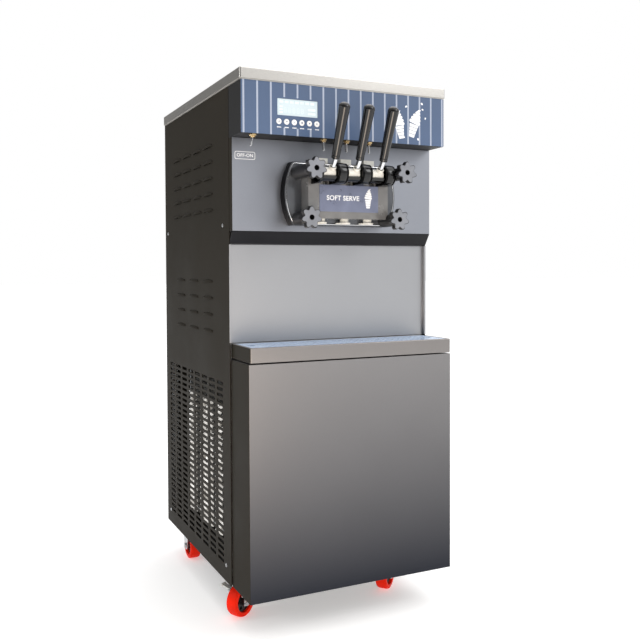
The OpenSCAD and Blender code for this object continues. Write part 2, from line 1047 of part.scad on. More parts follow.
front_caster(-1, left_heading) pedal(-1);  // brake_pedal_left
front_caster(1, right_heading) pedal(-1);  // brake_pedal_right
front_wheel(-1, left_heading);  // wheel_front_left
front_wheel(1, right_heading);  // wheel_front_right
rear_caster_wheel(-1);  // wheel_rear_left
rear_caster_wheel(1);  // wheel_rear_right
screws();
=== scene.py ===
import json
import math
from contextlib import contextmanager

import bmesh
import bpy
from bpy.props import FloatProperty, FloatVectorProperty, IntProperty, PointerProperty
from bpy.types import Operator, Panel, PropertyGroup
from mathutils import Matrix, Vector


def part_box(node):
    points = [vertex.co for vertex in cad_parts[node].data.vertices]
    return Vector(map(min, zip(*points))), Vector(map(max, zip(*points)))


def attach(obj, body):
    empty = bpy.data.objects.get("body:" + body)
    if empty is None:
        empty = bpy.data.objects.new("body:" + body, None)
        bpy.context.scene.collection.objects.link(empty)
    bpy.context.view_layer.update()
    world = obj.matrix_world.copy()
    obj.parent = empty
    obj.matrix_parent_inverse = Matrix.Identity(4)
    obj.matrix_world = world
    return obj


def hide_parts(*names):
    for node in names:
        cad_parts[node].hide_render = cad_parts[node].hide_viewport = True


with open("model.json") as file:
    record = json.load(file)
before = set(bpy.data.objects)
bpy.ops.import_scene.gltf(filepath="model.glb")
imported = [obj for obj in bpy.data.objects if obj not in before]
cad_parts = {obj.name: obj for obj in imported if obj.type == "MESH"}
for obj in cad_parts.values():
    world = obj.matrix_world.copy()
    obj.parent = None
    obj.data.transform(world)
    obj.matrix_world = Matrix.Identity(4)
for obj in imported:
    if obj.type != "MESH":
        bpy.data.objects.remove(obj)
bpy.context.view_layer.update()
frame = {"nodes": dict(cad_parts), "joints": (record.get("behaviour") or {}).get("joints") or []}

bl_info = {
    "name": "Soft Serve Machine",
    "version": (1, 0, 0),
    "blender": (4, 5, 0),
    "location": "View3D > Sidebar > Soft Serve",
    "description": "Finished looks for a floor-standing soft-serve machine, piece by piece",
    "category": "Add Mesh",
}

MM = 0.001
NODES = frame["nodes"]
JOINTS = {j["name"]: j for j in frame["joints"]}
CABINET = "cabinet"
SIDES = (-1, 1)
LEVERS = ("left", "middle", "right")
KNOBS = ("top_left", "top_right", "bottom_left", "bottom_right")

# Turns a shape drawn in XY, and raised along +Z, to stand in XZ and face the front
FACING_FRONT = Matrix.Rotation(math.radians(90), 4, "X")


def mm(*values):
    """A vector given in millimetres."""
    return Vector(values) * MM


def pivot(joint):
    """Where a hinge's axis is, in metres."""
    return Vector(JOINTS[joint]["pos_m"])


def in_mm(pairs):
    """An outline or a profile given in millimetres."""
    return [(a * MM, b * MM) for a, b in pairs]


def at(point):
    return Matrix.Translation(point)


def shift(x=0.0, y=0.0, z=0.0):
    return Matrix.Translation((x, y, z))


def turn(degrees, axis):
    return Matrix.Rotation(math.radians(degrees), 4, axis)


def along(start, end):
    """The matrix that takes the Z axis to the line from start to end."""
    start, end = Vector(start), Vector(end)
    return at(start) @ (end - start).to_track_quat("Z", "Y").to_matrix().to_4x4()


# ------------------------------------------------------------------ shapes


class Solid:
    """A mesh under construction, in metres, in the frame's own axes."""

    def __init__(self):
        self.bm = bmesh.new()

    @classmethod
    def copied(cls, *nodes, weld=2e-5):
        """A merged copy of CAD nodes, with flat regions joined up."""
        solid = cls()
        for node in nodes:
            solid.bm.from_mesh(NODES[node].data)
        bmesh.ops.remove_doubles(solid.bm, verts=solid.bm.verts, dist=weld)
        bmesh.ops.dissolve_limit(
            solid.bm, angle_limit=math.radians(0.5), verts=solid.bm.verts, edges=solid.bm.edges)
        return solid

    @contextmanager
    def placed(self, matrix):
        """What is made inside the block is moved by the matrix."""
        old = set(self.bm.verts)
        yield self
        fresh = [v for v in self.bm.verts if v not in old]
        bmesh.ops.transform(self.bm, matrix=matrix, verts=fresh)

    def eased(self, width, segments=2, sharper=30, keep=None):
        """Rounds every edge that turns by more than an angle."""
        edges = [
            e for e in self.bm.edges
            if len(e.link_faces) == 2 and e.calc_face_angle(0) > math.radians(sharper)
            and (keep is None or keep(e))
        ]
        self.bevel(edges, width, segments)
        return self

    def bevel(self, edges, width, segments=2):
        bmesh.ops.bevel(
            self.bm, geom=list(edges), offset=width, offset_type="OFFSET", segments=segments,
            profile=0.5, affect="EDGES", clamp_overlap=True, material=-1)

    def box(self, low, high, width=0.0, segments=2):
        low, high = Vector(low), Vector(high)
        place = Matrix.LocRotScale((low + high) / 2, None, high - low)
        made = bmesh.ops.create_cube(self.bm, size=1.0, matrix=place)
        if width:
            self.bevel({e for v in made["verts"] for e in v.link_edges}, width, segments)
        return self

    def drum(self, start, end, r, segments=32, width=0.0):
        """A round bar from start to end, with its rims eased."""
        length = (Vector(end) - Vector(start)).length
        made = bmesh.ops.create_cone(
            self.bm, cap_ends=True, segments=segments, radius1=r, radius2=r, depth=length,
            matrix=along(start, end) @ shift(z=length / 2))
        if width:
            caps = {f for v in made["verts"] for f in v.link_faces if len(f.verts) == segments}
            self.bevel({e for f in caps for e in f.edges}, width)
        return self

    def lathe(self, profile, start, end, steps=40, closed=False):
        """A turned shape: profile holds (radius, distance along the axis) in metres."""
        place = along(start, end)
        verts = [self.bm.verts.new((r, 0, h)) for r, h in profile]
        pairs = list(zip(verts, verts[1:]))
        if closed:
            pairs.append((verts[-1], verts[0]))
        edges = [self.bm.edges.new(p) for p in pairs]
        old = set(self.bm.verts) - set(verts)
        bmesh.ops.spin(
            self.bm, geom=verts + edges, cent=(0, 0, 0), axis=(0, 0, 1),
            angle=math.tau, steps=steps, use_merge=True)
        fresh = [v for v in self.bm.verts if v not in old]
        bmesh.ops.remove_doubles(self.bm, verts=fresh, dist=1e-7)
        fresh = [v for v in self.bm.verts if v not in old]
        bmesh.ops.transform(self.bm, matrix=place, verts=fresh)
        return self

    def ring(self, centre, axis, radius, thick, steps=40, sides=10):
        """A torus round an axis."""
        start = Vector(centre)
        turn_by = math.tau / sides
        loop = [(radius + thick * math.cos(k * turn_by), thick * math.sin(k * turn_by))
                for k in range(sides)]
        return self.lathe(loop, start, start + Vector(axis), steps, closed=True)

    def plate(self, outlines, thick):
        """A flat plate in XY with any holes, raised along +Z. An outline is a list of (x, y)."""
        edges = []
        for outline in outlines:
            verts = [self.bm.verts.new((x, y, 0)) for x, y in outline]
            edges += [self.bm.edges.new(p) for p in zip(verts, verts[1:] + verts[:1])]
        made = bmesh.ops.triangle_fill(self.bm, edges=edges, use_beauty=True, normal=(0, 0, 1))
        faces = [g for g in made["geom"] if isinstance(g, bmesh.types.BMFace)]
        made = bmesh.ops.extrude_face_region(self.bm, geom=faces, use_keep_orig=True)
        raised = [g for g in made["geom"] if isinstance(g, bmesh.types.BMVert)]
        bmesh.ops.translate(self.bm, vec=(0, 0, thick), verts=raised)
        return self

    def tube(self, points, radius, closed=False, sides=10):
        """A round bar along a path."""
        points = [Vector(p) for p in points]
        count = len(points)
        rings = []
        for k, point in enumerate(points):
            if closed:
                ahead = points[(k + 1) % count] - points[k - 1]
            else:
                ahead = points[min(k + 1, count - 1)] - points[max(k - 1, 0)]
            place = at(point) @ ahead.to_track_quat("Z", "X").to_matrix().to_4x4()
            made = bmesh.ops.create_circle(
                self.bm, cap_ends=False, segments=sides, radius=radius, matrix=place)
            rings.append({e for v in made["verts"] for e in v.link_edges})
        pairs = list(zip(rings, rings[1:]))
        if closed:
            pairs.append((rings[-1], rings[0]))
        for a, b in pairs:
            bmesh.ops.bridge_loops(self.bm, edges=list(a | b))
        if not closed:
            for ring in (rings[0], rings[-1]):
                bmesh.ops.contextual_create(self.bm, geom=list(ring))
        return self

    def piece(self, name, body, slot, finish, replaces=(), smooth=32, finishes=(), choose=None):
        """Makes the object, gives it its finish and ties it to its body."""
        bmesh.ops.recalc_face_normals(self.bm, faces=self.bm.faces)
        for face in self.bm.faces:
            face.smooth = True
            if choose:
                face.material_index = choose(face)
        mesh = bpy.data.meshes.new(name)
        self.bm.to_mesh(mesh)
        self.bm.free()
        for material in (finish, *finishes):
            mesh.materials.append(material)
        mesh.set_sharp_from_angle(angle=math.radians(smooth))
        made = bpy.data.objects.new(name, mesh)
        bpy.context.scene.collection.objects.link(made)
        weighted = made.modifiers.new("even_normals", "WEIGHTED_NORMAL")
        weighted.keep_sharp = True
        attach(made, body)
        if replaces:
            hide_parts(*replaces)
        return made


def disc(r, x=0.0, y=0.0, steps=32):
    """A round outline."""
    return [(x + r * math.cos(math.tau * k / steps), y + r * math.sin(math.tau * k / steps))
            for k in range(steps)]


def pill(low, high, r, steps=5):
    """A rectangular outline with round corners."""
    corners = ((high[0] - r, high[1] - r, 0), (low[0] + r, high[1] - r, 90),
               (low[0] + r, low[1] + r, 180), (high[0] - r, low[1] + r, 270))
    return [(x + r * math.cos(math.radians(a + 90 * k / steps)),
             y + r * math.sin(math.radians(a + 90 * k / steps)))
            for x, y, a in corners for k in range(steps + 1)]


def lettering(name, words, height, place, thick, body, finish):
    """Plain raised lettering, made a mesh before it is put in place."""
    curve = bpy.data.curves.new(name, "FONT")
    curve.body = words
    curve.size = height
    curve.align_x = "CENTER"
    curve.align_y = "CENTER"
    curve.space_character = 1.05
    curve.extrude = thick
    curve.offset = height * 0.022
    source = bpy.data.objects.new(name + "_outline", curve)
    bpy.context.scene.collection.objects.link(source)
    bpy.context.view_layer.update()
    mesh = bpy.data.meshes.new_from_object(source)
    bpy.data.objects.remove(source)
    bpy.data.curves.remove(curve)
    mesh.transform(place)
    mesh.materials.clear()
    mesh.materials.append(finish)
    mesh.name = name
    made = bpy.data.objects.new(name, mesh)
    bpy.context.scene.collection.objects.link(made)
    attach(made, body)
    return made


# ---------------------------------------------------------------- finishes


class Wire:
    """One output of a shader node. Arithmetic on it adds Math nodes."""

    def __init__(self, recipe, socket):
        self.recipe = recipe
        self.socket = socket

    def maths(self, operation, *terms):
        return self.recipe.node("ShaderNodeMath", {"operation": operation}, *terms)

    def __add__(self, other):
        return self.maths("ADD", self, other)

    def __sub__(self, other):
        return self.maths("SUBTRACT", self, other)

    def __rsub__(self, other):
        return self.maths("SUBTRACT", other, self)

    def __mul__(self, other):
        return self.maths("MULTIPLY", self, other)

    def modulo(self, period):
        return self.maths("FLOORED_MODULO", self, period)

    def above(self, edge):
        return self.maths("GREATER_THAN", self, edge)

    def below(self, edge):
        return self.maths("LESS_THAN", self, edge)

    def between(self, low, high):
        return self.above(low) * self.below(high)


class Recipe:
    """A material and its nodes."""

    def __init__(self, name, **settings):
        self.material = bpy.data.materials.new(name)
        self.material.use_nodes = True
        self.tree = self.material.node_tree
        self.shader = self.tree.nodes["Principled BSDF"]
        self.place = None
        for socket, value in settings.items():
            self.set(socket, value)

    def feed(self, socket, value):
        if isinstance(value, Wire):
            self.tree.links.new(value.socket, socket)
        elif hasattr(socket.default_value, "__len__") and len(socket.default_value) == 4:
            socket.default_value = (*tuple(value)[:3], 1.0)
        else:
            socket.default_value = value

    def set(self, socket, value):
        self.feed(self.shader.inputs[socket.replace("_", " ")], value)

    def node(self, kind, settings=None, *terms, out=0, **named):
        """Adds any node: its settings first, then its sockets in order, then those by name."""
        made = self.tree.nodes.new(kind)
        for key, value in (settings or {}).items():
            setattr(made, key, value)
        for socket, value in zip(made.inputs, terms):
            self.feed(socket, value)
        for key, value in named.items():
            self.feed(made.inputs[key.replace("_", " ")], value)
        return Wire(self, made.outputs[out])

    def where(self):
        """The Object coordinates, made once."""
        if self.place is None:
            self.place = self.node("ShaderNodeTexCoord", out=3)
        return self.place

    def axis(self, name):
        return self.node("ShaderNodeSeparateXYZ", None, self.where(), out="XYZ".index(name))

    def noise(self, scale, detail=2.0, stretch=(1, 1, 1), rough=0.5):
        """Noise of so many cells to the metre, stretched along the axes."""
        place = self.node("ShaderNodeMapping", None, Vector=self.where(), Scale=stretch)
        return self.node(
            "ShaderNodeTexNoise", None, Vector=place, Scale=scale, Detail=detail, Roughness=rough)

    def range(self, value, low, high, new_low, new_high):
        return self.node(
            "ShaderNodeMapRange", {"clamp": True}, Value=value, From_Min=low, From_Max=high,
            To_Min=new_low, To_Max=new_high)

    def mix(self, factor, a, b):
        made = self.tree.nodes.new("ShaderNodeMix")
        made.data_type = "RGBA"
        self.feed(made.inputs[0], factor)
        self.feed(made.inputs[6], a)
        self.feed(made.inputs[7], b)
        return Wire(self, made.outputs[2])

    def bump(self, height, distance, strength=1.0):
        self.set("Normal", self.node(
            "ShaderNodeBump", None, Height=height, Distance=distance, Strength=strength))
        return self


def shade(colour, factor):
    return tuple(min(c * factor, 1.0) for c in tuple(colour)[:3])


def brushed(name, colour, rough=0.34, grain=(1, 1, 1), contrast=0.10, painted_shade_fall=None, metallic=1.0):
    """Brushed sheet: fine scratches along one axis, and cloudy handling marks.

    The painted shade fall is (low height, high height, colour at the low one): painted shade that
    darkens the sheet towards the bottom.
    """
    r = Recipe(name, Metallic=metallic, Roughness=rough)
    scratches = r.noise(420, 3.0, grain, 0.6)
    clouds = r.noise(3.1, 3.0)
    tone = r.mix(r.range(scratches, 0.3, 0.7, 0.0, 1.0), shade(colour, 1 - contrast),
                 shade(colour, 1 + contrast))
    tone = r.mix(r.range(clouds, 0.35, 0.75, 0.0, 0.25), tone, shade(colour, 0.82))
    # Painted shade: the tone darkens towards the low height, down to the given dark colour.
    if painted_shade_fall:
        low, high, dark = painted_shade_fall
        tone = r.mix(r.range(r.axis("Z"), low, high, 1.0, 0.0), tone, dark)
    r.set("Base_Color", tone)
    r.set("Roughness", r.range(scratches, 0.25, 0.75, rough - 0.05, rough + 0.08)
          + r.range(clouds, 0.4, 0.7, 0.0, 0.05))
    return r.bump(scratches, 0.00004, 0.35).material


def powder_coat(name, colour, rough=0.48, ior=1.4):
    """Powder coat: orange peel, fine speckle and faint dust."""
    r = Recipe(name, Metallic=0.0, Specular_IOR_Level=0.3, IOR=ior)
    peel = r.noise(900, 2.0)
    speckle = r.noise(2600, 1.0)
    dust = r.noise(5.0, 4.0, rough=0.6)
    tone = r.mix(r.range(speckle, 0.45, 0.75, 0.0, 0.6), colour, shade(colour, 1.35))
    tone = r.mix(r.range(dust, 0.45, 0.8, 0.0, 0.35), tone, shade(colour, 1.5))
    r.set("Base_Color", tone)
    r.set("Roughness", r.range(dust, 0.3, 0.8, rough - 0.05, rough + 0.10))
    return r.bump(peel, 0.00012, 0.4).material


def moulded(name, colour, rough=0.3, coat=0.0, metallic=0.0, swirl=40.0, gloss=0.5, ior=1.5):
    """Moulded plastic: faint flow marks, uneven gloss and a soft skin."""
    r = Recipe(name, Metallic=metallic, Coat_Weight=coat, Coat_Roughness=0.08,
               Specular_IOR_Level=gloss, IOR=ior)
    flow = r.noise(swirl, 3.0)
    skin = r.noise(1500, 1.0)
    r.set("Base_Color", r.mix(r.range(flow, 0.3, 0.75, 0.0, 1.0), shade(colour, 0.9),
                              shade(colour, 1.12)))
    r.set("Roughness", r.range(flow, 0.3, 0.7, max(rough - 0.04, 0.03), rough + 0.06))
    return r.bump(skin, 0.00003, 0.3).material


def plated(name, colour, rough=0.18, mottle=0.15):
    """Plated or polished metal with a faint mottle."""
    r = Recipe(name, Metallic=1.0)
    patches = r.noise(130, 3.0)
    lines = r.noise(900, 1.0, (1, 1, 6))
    r.set("Base_Color", r.mix(r.range(patches, 0.35, 0.7, 0.0, 1.0), shade(colour, 1 - mottle),
                              shade(colour, 1.06)))
    r.set("Roughness", r.range(patches, 0.3, 0.7, max(rough - 0.05, 0.04), rough + 0.10))
    return r.bump(lines, 0.00002, 0.3).material


def galvanised(name, colour):
    """Zinc-dipped sheet with its crystal spangle."""
    r = Recipe(name, Metallic=1.0)
    spangle = r.node("ShaderNodeTexVoronoi", None, Vector=r.where(), Scale=90.0, out=1)
    tone = r.node("ShaderNodeRGBToBW", None, spangle)
    r.set("Base_Color", r.mix(tone, shade(colour, 0.75), shade(colour, 1.15)))
    r.set("Roughness", r.range(tone, 0.0, 1.0, 0.32, 0.5))
    return r.bump(tone, 0.00002, 0.2).material


def printed_film(name, colour, stripe, pitch, width, first, bare):
    """Fascia film with upright pinstripes that stop round the display and the keys.

    bare is (low x, high x, low z, high z) of the field with no stripes.
    """
    r = Recipe(name, Roughness=0.28, Coat_Weight=0.35, Coat_Roughness=0.1)
    x, z = r.axis("X"), r.axis("Z")
    phase = (x - (first - pitch / 2)).modulo(pitch)
    line = phase.between(pitch / 2 - width / 2, pitch / 2 + width / 2)
    field = x.between(bare[0], bare[1]) * z.between(bare[2], bare[3])
    grain = r.noise(300, 3.0)
    base = r.mix(r.range(grain, 0.3, 0.7, 0.0, 1.0), shade(colour, 0.98), shade(colour, 1.03))
    edge = r.range(z, 1.135, 1.255, 0.0, 1.0)
    base = r.mix(edge * 0.5, base, shade(colour, 0.78))
    r.set("Base_Color", r.mix(line * (1 - field), base, stripe))
    r.set("Roughness", r.range(grain, 0.3, 0.7, 0.29, 0.32))
    return r.bump(line * (1 - field), 0.00003, 0.3).material


def srgb(text):
    """A screen colour such as 6d7f9c as linear values."""
    channels = [int(text[k:k + 2], 16) / 255 for k in (0, 2, 4)]
    return tuple(c / 12.92 if c <= 0.04045 else ((c + 0.055) / 1.055) ** 2.4 for c in channels)


# ---------------------------------------------------- sizes and colours


def length(name, description, default, high=0.1):
    return FloatProperty(name=name, description=description, default=default, min=0.0,
                         max=high, unit="LENGTH")


def colour(name, description, text):
    return FloatVectorProperty(name=name, description=description, default=srgb(text), size=3,
                               min=0.0, max=1.0, subtype="COLOR")


class MachineSizes(PropertyGroup):
    """Sizes that change the character of the pieces and not their places."""

    fold: length("Fold radius", "Rounding of the folded panels' edges", 0.0012)
    lid_fold: length("Lid fold radius", "Rounding of the lid's upper edge", 0.0030)
    hood: length("Louvre hood depth", "How far the louvres are pressed out", 0.0042)
    slot_height: length("Slot height", "Height of the grille slots in the side panels", 0.0078)
    slot_length: length("Slot length", "Length of the grille slots in the side panels", 0.046)
    louvre_length: length("Louvre length", "Length of a louvre", 0.074)
    stripe_pitch: length("Stripe pitch", "Distance between the fascia's pinstripes", 0.03265)
    stripe_width: length("Stripe width", "Width of a pinstripe", 0.0042)
    knob_lobes: IntProperty(name="Knob lobes", description="Points of a star knob",
                            default=7, min=3, max=12)
    fin_pitch: length("Fin pitch", "Distance between the condenser's fins", 0.004)


class MachineColours(PropertyGroup):
    """Colours of the finishes."""

    charcoal: colour("Charcoal", "Powder coat of the side and rear panels", "2b2823")
    titanium: colour("Titanium", "Coated steel of the front panels", "989ba3")
    # Painted shade: the chin is the same steel as the splash panel, given this near-black for the
    # shade it lies in.
    chin: colour("Chin", "Sloping strip under the upper front panel", "1b1b1e")
    stainless: colour("Stainless", "Brushed stainless steel", "c6c3be")
    film: colour("Fascia", "Printed film of the fascia", "4a5e7e")
    stripe: colour("Stripe", "Pinstripes and pale prints", "a4adbf")
    black: colour("Black", "Glossy black mouldings", "060607")
    block: colour("Door block", "Front block of the dispensing door", "7c7b7a")
    plate: colour("Label", "Label plate of the door", "747a90")
    knob: colour("Knob", "Face plates of the star knobs", "7e8188")
    white: colour("White", "White mouldings", "e2e0d8")
    brass: colour("Brass", "Nuts and bushings of the switches", "d3b98c")
    red: colour("Tread", "Wheels' treads", "f02406")
    grille: colour("Grille", "Perforated grille of the drip tray", "c9dcf8")


def colours():
    return bpy.context.scene.machine_colours


def sizes():
    return bpy.context.scene.machine_sizes


FINISHES = {}


def finish(name):
    """Each finish is made once, the first time a piece needs it."""
    if name not in FINISHES:
        FINISHES[name] = FINISH_RECIPES[name]()
    return FINISHES[name]


FINISH_RECIPES = {
    "charcoal": lambda: powder_coat("charcoal_powder", colours().charcoal, ior=1.12),
    "black_powder": lambda: powder_coat("black_powder", srgb("1c1c1d"), 0.55),
    "grey_powder": lambda: powder_coat("grey_powder", srgb("808387"), 0.5),
    "upper": lambda: brushed("titanium_upper", colours().titanium, 0.36, (9, 1, 0.4), 0.05),
    "splash": lambda: brushed("titanium_splash", srgb("a7a8ab"), 0.38, (9, 1, 0.4), 0.05),
    "tray": lambda: brushed("titanium_tray", srgb("8d8987"), 0.36, (9, 1, 0.4), 0.05),
    # Painted shade: the lower front panel darkens to a near-black blue towards the bottom.
    "lower": lambda: brushed("titanium_lower", srgb("8f8d8d"), 0.40, (9, 1, 0.4), 0.05,
                             painted_shade_fall=(0.05, 0.68, srgb("1b1f29"))),
    # Painted shade for the chin of the splash panel.
    "chin": lambda: moulded("chin_painted_shade", colours().chin, 0.42, swirl=12.0, gloss=0.15),
    "stainless": lambda: brushed("brushed_stainless", colours().stainless, 0.3, (0.3, 9, 9)),
    "hopper": lambda: brushed("hopper_stainless", colours().stainless, 0.22, (6, 6, 0.4)),
    "grille": lambda: brushed("grille_steel", colours().grille, 0.26, (0.3, 6, 6), metallic=0.15),
    "galvanised": lambda: galvanised("galvanised_sheet", srgb("b9bdc0")),
    "zinc": lambda: plated("zinc_plate", srgb("c4c6c8"), 0.3),
    "pedal": lambda: moulded("pedal_zinc", srgb("c4c7c5"), 0.35, metallic=0.3),
    "chrome": lambda: plated("polished_steel", srgb("dcdddf"), 0.12, 0.06),
    "brass": lambda: plated("brass", colours().brass, 0.2),
    "copper": lambda: plated("copper_tube", srgb("b36a3c"), 0.28, 0.25),
    "fins": lambda: plated("fin_aluminium", srgb("8d8f90"), 0.4),
    "bends": lambda: glowing_bends("bend_aluminium_painted_glow"),
    "film": lambda: printed_film("fascia_film", colours().film, colours().stripe,
                                 sizes().stripe_pitch, sizes().stripe_width, -0.2608,
                                 (-0.184, -0.072, 1.152, 1.221)),
    "print": lambda: moulded("white_print", srgb("f4f6fa"), 0.4),
    "glass": lambda: display_glass("display_glass"),
    "mark": lambda: moulded("display_mark", srgb("dfeef2"), 0.35),
    "board": lambda: moulded("circuit_board", srgb("1f5a38"), 0.4),
    "white": lambda: moulded("white_moulding", colours().white, 0.3, coat=0.2),
    "key": lambda: moulded("key_cap", srgb("f7f7f5"), 0.25, coat=0.3),
    "black": lambda: moulded("black_gloss", colours().black, 0.12, swirl=25.0),
    "satin_black": lambda: moulded("satin_black", srgb("141416"), 0.38),
    "flange": lambda: moulded("flange_black", colours().black, 0.22, swirl=25.0, ior=1.12),
    "flange_face": lambda: moulded("flange_face", srgb("5c5f64"), 0.2, coat=0.3, metallic=0.5),
    "block": lambda: moulded("door_block", colours().block, 0.22, coat=0.4, metallic=0.35),
    "plate": lambda: moulded("label_plate", colours().plate, 0.3, metallic=0.3),
    "knob": lambda: moulded("knob_face", colours().knob, 0.4, metallic=0.15),
    "red": lambda: moulded("red_tread", colours().red, 0.5, gloss=0.1),
    "rubber": lambda: moulded("o_ring_rubber", srgb("1a1a1a"), 0.6),
    "dark_metal": lambda: plated("dark_steel", srgb("5b5d60"), 0.35),
}


def glowing_bends(name):
    """Bare aluminium tube with a painted glow: it emits light, as if lit from inside the cabinet.
    """
    r = Recipe(name, Metallic=0.4, Roughness=0.3, Emission_Strength=0.8)
    patches = r.noise(60, 3.0)
    tone = r.mix(r.range(patches, 0.35, 0.65, 0.0, 1.0), srgb("8f8b84"), srgb("f4f2ee"))
    r.set("Base_Color", tone)
    r.set("Emission_Color", tone)
    return r.bump(patches, 0.0001, 0.3).material


def display_glass(name):
    """Pale liquid-crystal window, a little brighter in the middle."""
    r = Recipe(name, Roughness=0.08, Coat_Weight=1.0, Coat_Roughness=0.03,
               Emission_Strength=0.25)
    x, z = r.axis("X"), r.axis("Z")
    wide = (x + 0.13) * 12.0
    tall = (z - 1.199) * 28.0
    glow = r.range(wide * wide + tall * tall, 0.0, 1.0, 0.0, 1.0)
    cells = r.noise(700, 1.0)
    base = r.mix(glow, srgb("c2d0d5"), srgb("b2c3ca"))
    base = r.mix(r.range(cells, 0.4, 0.6, 0.0, 0.15), base, srgb("a7b9c2"))
    r.set("Base_Color", base)
    r.set("Emission_Color", base)
    return r.material


# -------------------------------------------------------------- pieces


def corners(node):
    """(low, high) of a CAD node."""
    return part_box(node)


def sheet_copy(node, body, slot, main, side=None, name=None, width=None, smooth=40):
    """A folded cover: the CAD sheet with its edges eased. side finishes what faces sideways, as
    painted shade: the returns are the same sheet as the front, given a darker finish.
    """
    solid = Solid.copied(node).eased(width or sizes().fold, 3)
    finishes = (finish(side),) if side else ()
    choose = (lambda face: int(abs(face.normal.x) > 0.7)) if side else None
    return solid.piece(name or node + "_sheet", body, slot, finish(main), (node,), smooth,
                       finishes, choose)


YZ_PLANE = Matrix(((0, 0, 1, 0), (1, 0, 0, 0), (0, 1, 0, 0), (0, 0, 0, 1)))


def field(centre, pitch, count):
    """Centres of a rectangular field, in millimetres."""
    return [(centre[0] + (i - (count[0] - 1) / 2) * pitch[0],
             centre[1] + (j - (count[1] - 1) / 2) * pitch[1])
            for i in range(count[0]) for j in range(count[1])]


SIDE_SLOTS = field((110, 346.9), (61.6, 14.7), (8, 30))
SIDE_LOUVRES = (field((116, 1056.5), (92.8, 39.3), (4, 5))
                + field((104, 741.5), (122, 41), (3, 4)))
REAR_SLOTS = field((0, 360), (60, 14.7), (7, 16))
REAR_LOUVRES = field((0, 1060), (110, 39), (4, 4))


def vented_panel(name, node, low, high, slots, louvres, holes, place, out):
    """A flat panel with punched slots and louvres pressed out of it.

    It is drawn in its own plane, low to high, and place takes that plane to where it belongs.
    out is +1 where the outside is on the raised side, and -1 where it is on the drawn side.
    """
    s = sizes()
    thick = 2 * MM
    half_slot = Vector((s.slot_length, s.slot_height)) / 2
    half_louvre = Vector((s.louvre_length / 2, 3 * MM))
    outlines = [pill(low, high, 1.5 * MM, 3)]
    for centres, half in ((slots, half_slot), (louvres, half_louvre)):
        for centre in centres:
            centre = Vector(centre) * MM
            outlines.append(pill(centre - half, centre + half, half.y * 0.98, 4))
    outlines += holes
    panel = Solid()
    with panel.placed(place):
        panel.plate(outlines, thick)
        surface = thick if out > 0 else 0.0
        for centre in louvres:
            hood(panel, Vector(centre) * MM, surface, out, half_louvre.x, s.hood)
    return panel.piece(name, CABINET, "charcoal_paint", finish("charcoal"), (node,), 50)


def hood(panel, centre, surface, out, half_length, depth):
    """A louvre's hood: a quarter of a long ellipsoid, open underneath."""
    lip = -3 * MM
    place = at((centre.x, centre.y + lip, surface))
    stretch = Matrix.Diagonal((half_length + 2 * MM, 8 * MM, depth, 1))
    made = bmesh.ops.create_uvsphere(
        panel.bm, u_segments=20, v_segments=10, radius=1.0, matrix=place @ stretch)
    geom = set(made["verts"])
    for v in made["verts"]:
        geom |= set(v.link_edges) | set(v.link_faces)
    for point, normal in (((0, centre.y + lip, 0), (0, -1, 0)), ((0, 0, surface), (0, 0, -out))):
        geom = {g for g in geom if g.is_valid}
        cut = bmesh.ops.bisect_plane(
            panel.bm, geom=list(geom), plane_co=point, plane_no=normal, clear_outer=True)
        geom = {g for g in geom if g.is_valid} | set(cut["geom"]) | set(cut["geom_cut"])
    faces = [g for g in geom if g.is_valid and isinstance(g, bmesh.types.BMFace)]
    bmesh.ops.solidify(panel.bm, geom=faces, thickness=0.7 * MM)


class SOFTSERVE_OT_covers(Operator):
    """Makes the side, rear and front panels, with slots and louvres"""

    bl_idname = "softserve.covers"
    bl_label = "Covers"

    def execute(self, context):
        low, high = corners("left_side_panel")
        for node, x, out in (("left_side_panel", low.x, -1),
                             ("right_side_panel", corners("right_side_panel")[0].x, 1)):
            vented_panel(node + "_vented", node, low.yz, high.yz, SIDE_SLOTS, SIDE_LOUVRES, [],
                         shift(x=x) @ YZ_PLANE, out)
        low, high = corners("rear_panel")
        gland = [disc(11.5 * MM, 190 * MM, 180 * MM)]
        vented_panel("rear_panel_vented", "rear_panel", low.xz, high.xz, REAR_SLOTS,
                     REAR_LOUVRES, gland, shift(y=high.y) @ FACING_FRONT, -1)
        # Painted shade: the side returns of the front panels, one steel sheet with the fronts, get
        # the dark charcoal finish.
        sheet_copy("upper_front_panel", CABINET, "titanium_steel", "upper", "charcoal")
        sheet_copy("lower_front_panel", CABINET, "titanium_steel", "lower", "charcoal")
        self.splash()
        return {"FINISHED"}

    def splash(self):
        """The splash panel is steel up to the chin, which is dark: painted shade, as the chin is
        the same steel sheet turned down away from the light.
        """
        solid = Solid.copied("splash_panel").eased(0.6 * MM, 2)
        low, high = corners("splash_panel")
        top = high.z - 32 * MM
        for side in SIDES:
            inner, outer = sorted((side * 0.2635, side * 0.2675))
            solid.box((inner, -0.1828, low.z + 1 * MM), (outer, -0.1814, 0.8905), 0.3 * MM)
            inner, outer = sorted((side * 0.2625, side * 0.26495))
            solid.box((inner, -0.1816, low.z + 1 * MM), (outer, -0.1735, 0.8905), 0.2 * MM)
        solid.piece("splash_panel_sheet", CABINET, "titanium_steel", finish("splash"),
                    ("splash_panel",), 40, (finish("chin"),),
                    lambda face: int(face.calc_center_median().z > top))


# The display's window in the fascia: its low and high corner, [x, z]
WINDOW = (mm(-179.5, 1180.3), mm(-80.0, 1217.5))
GAP = mm(0.3, 0.3)


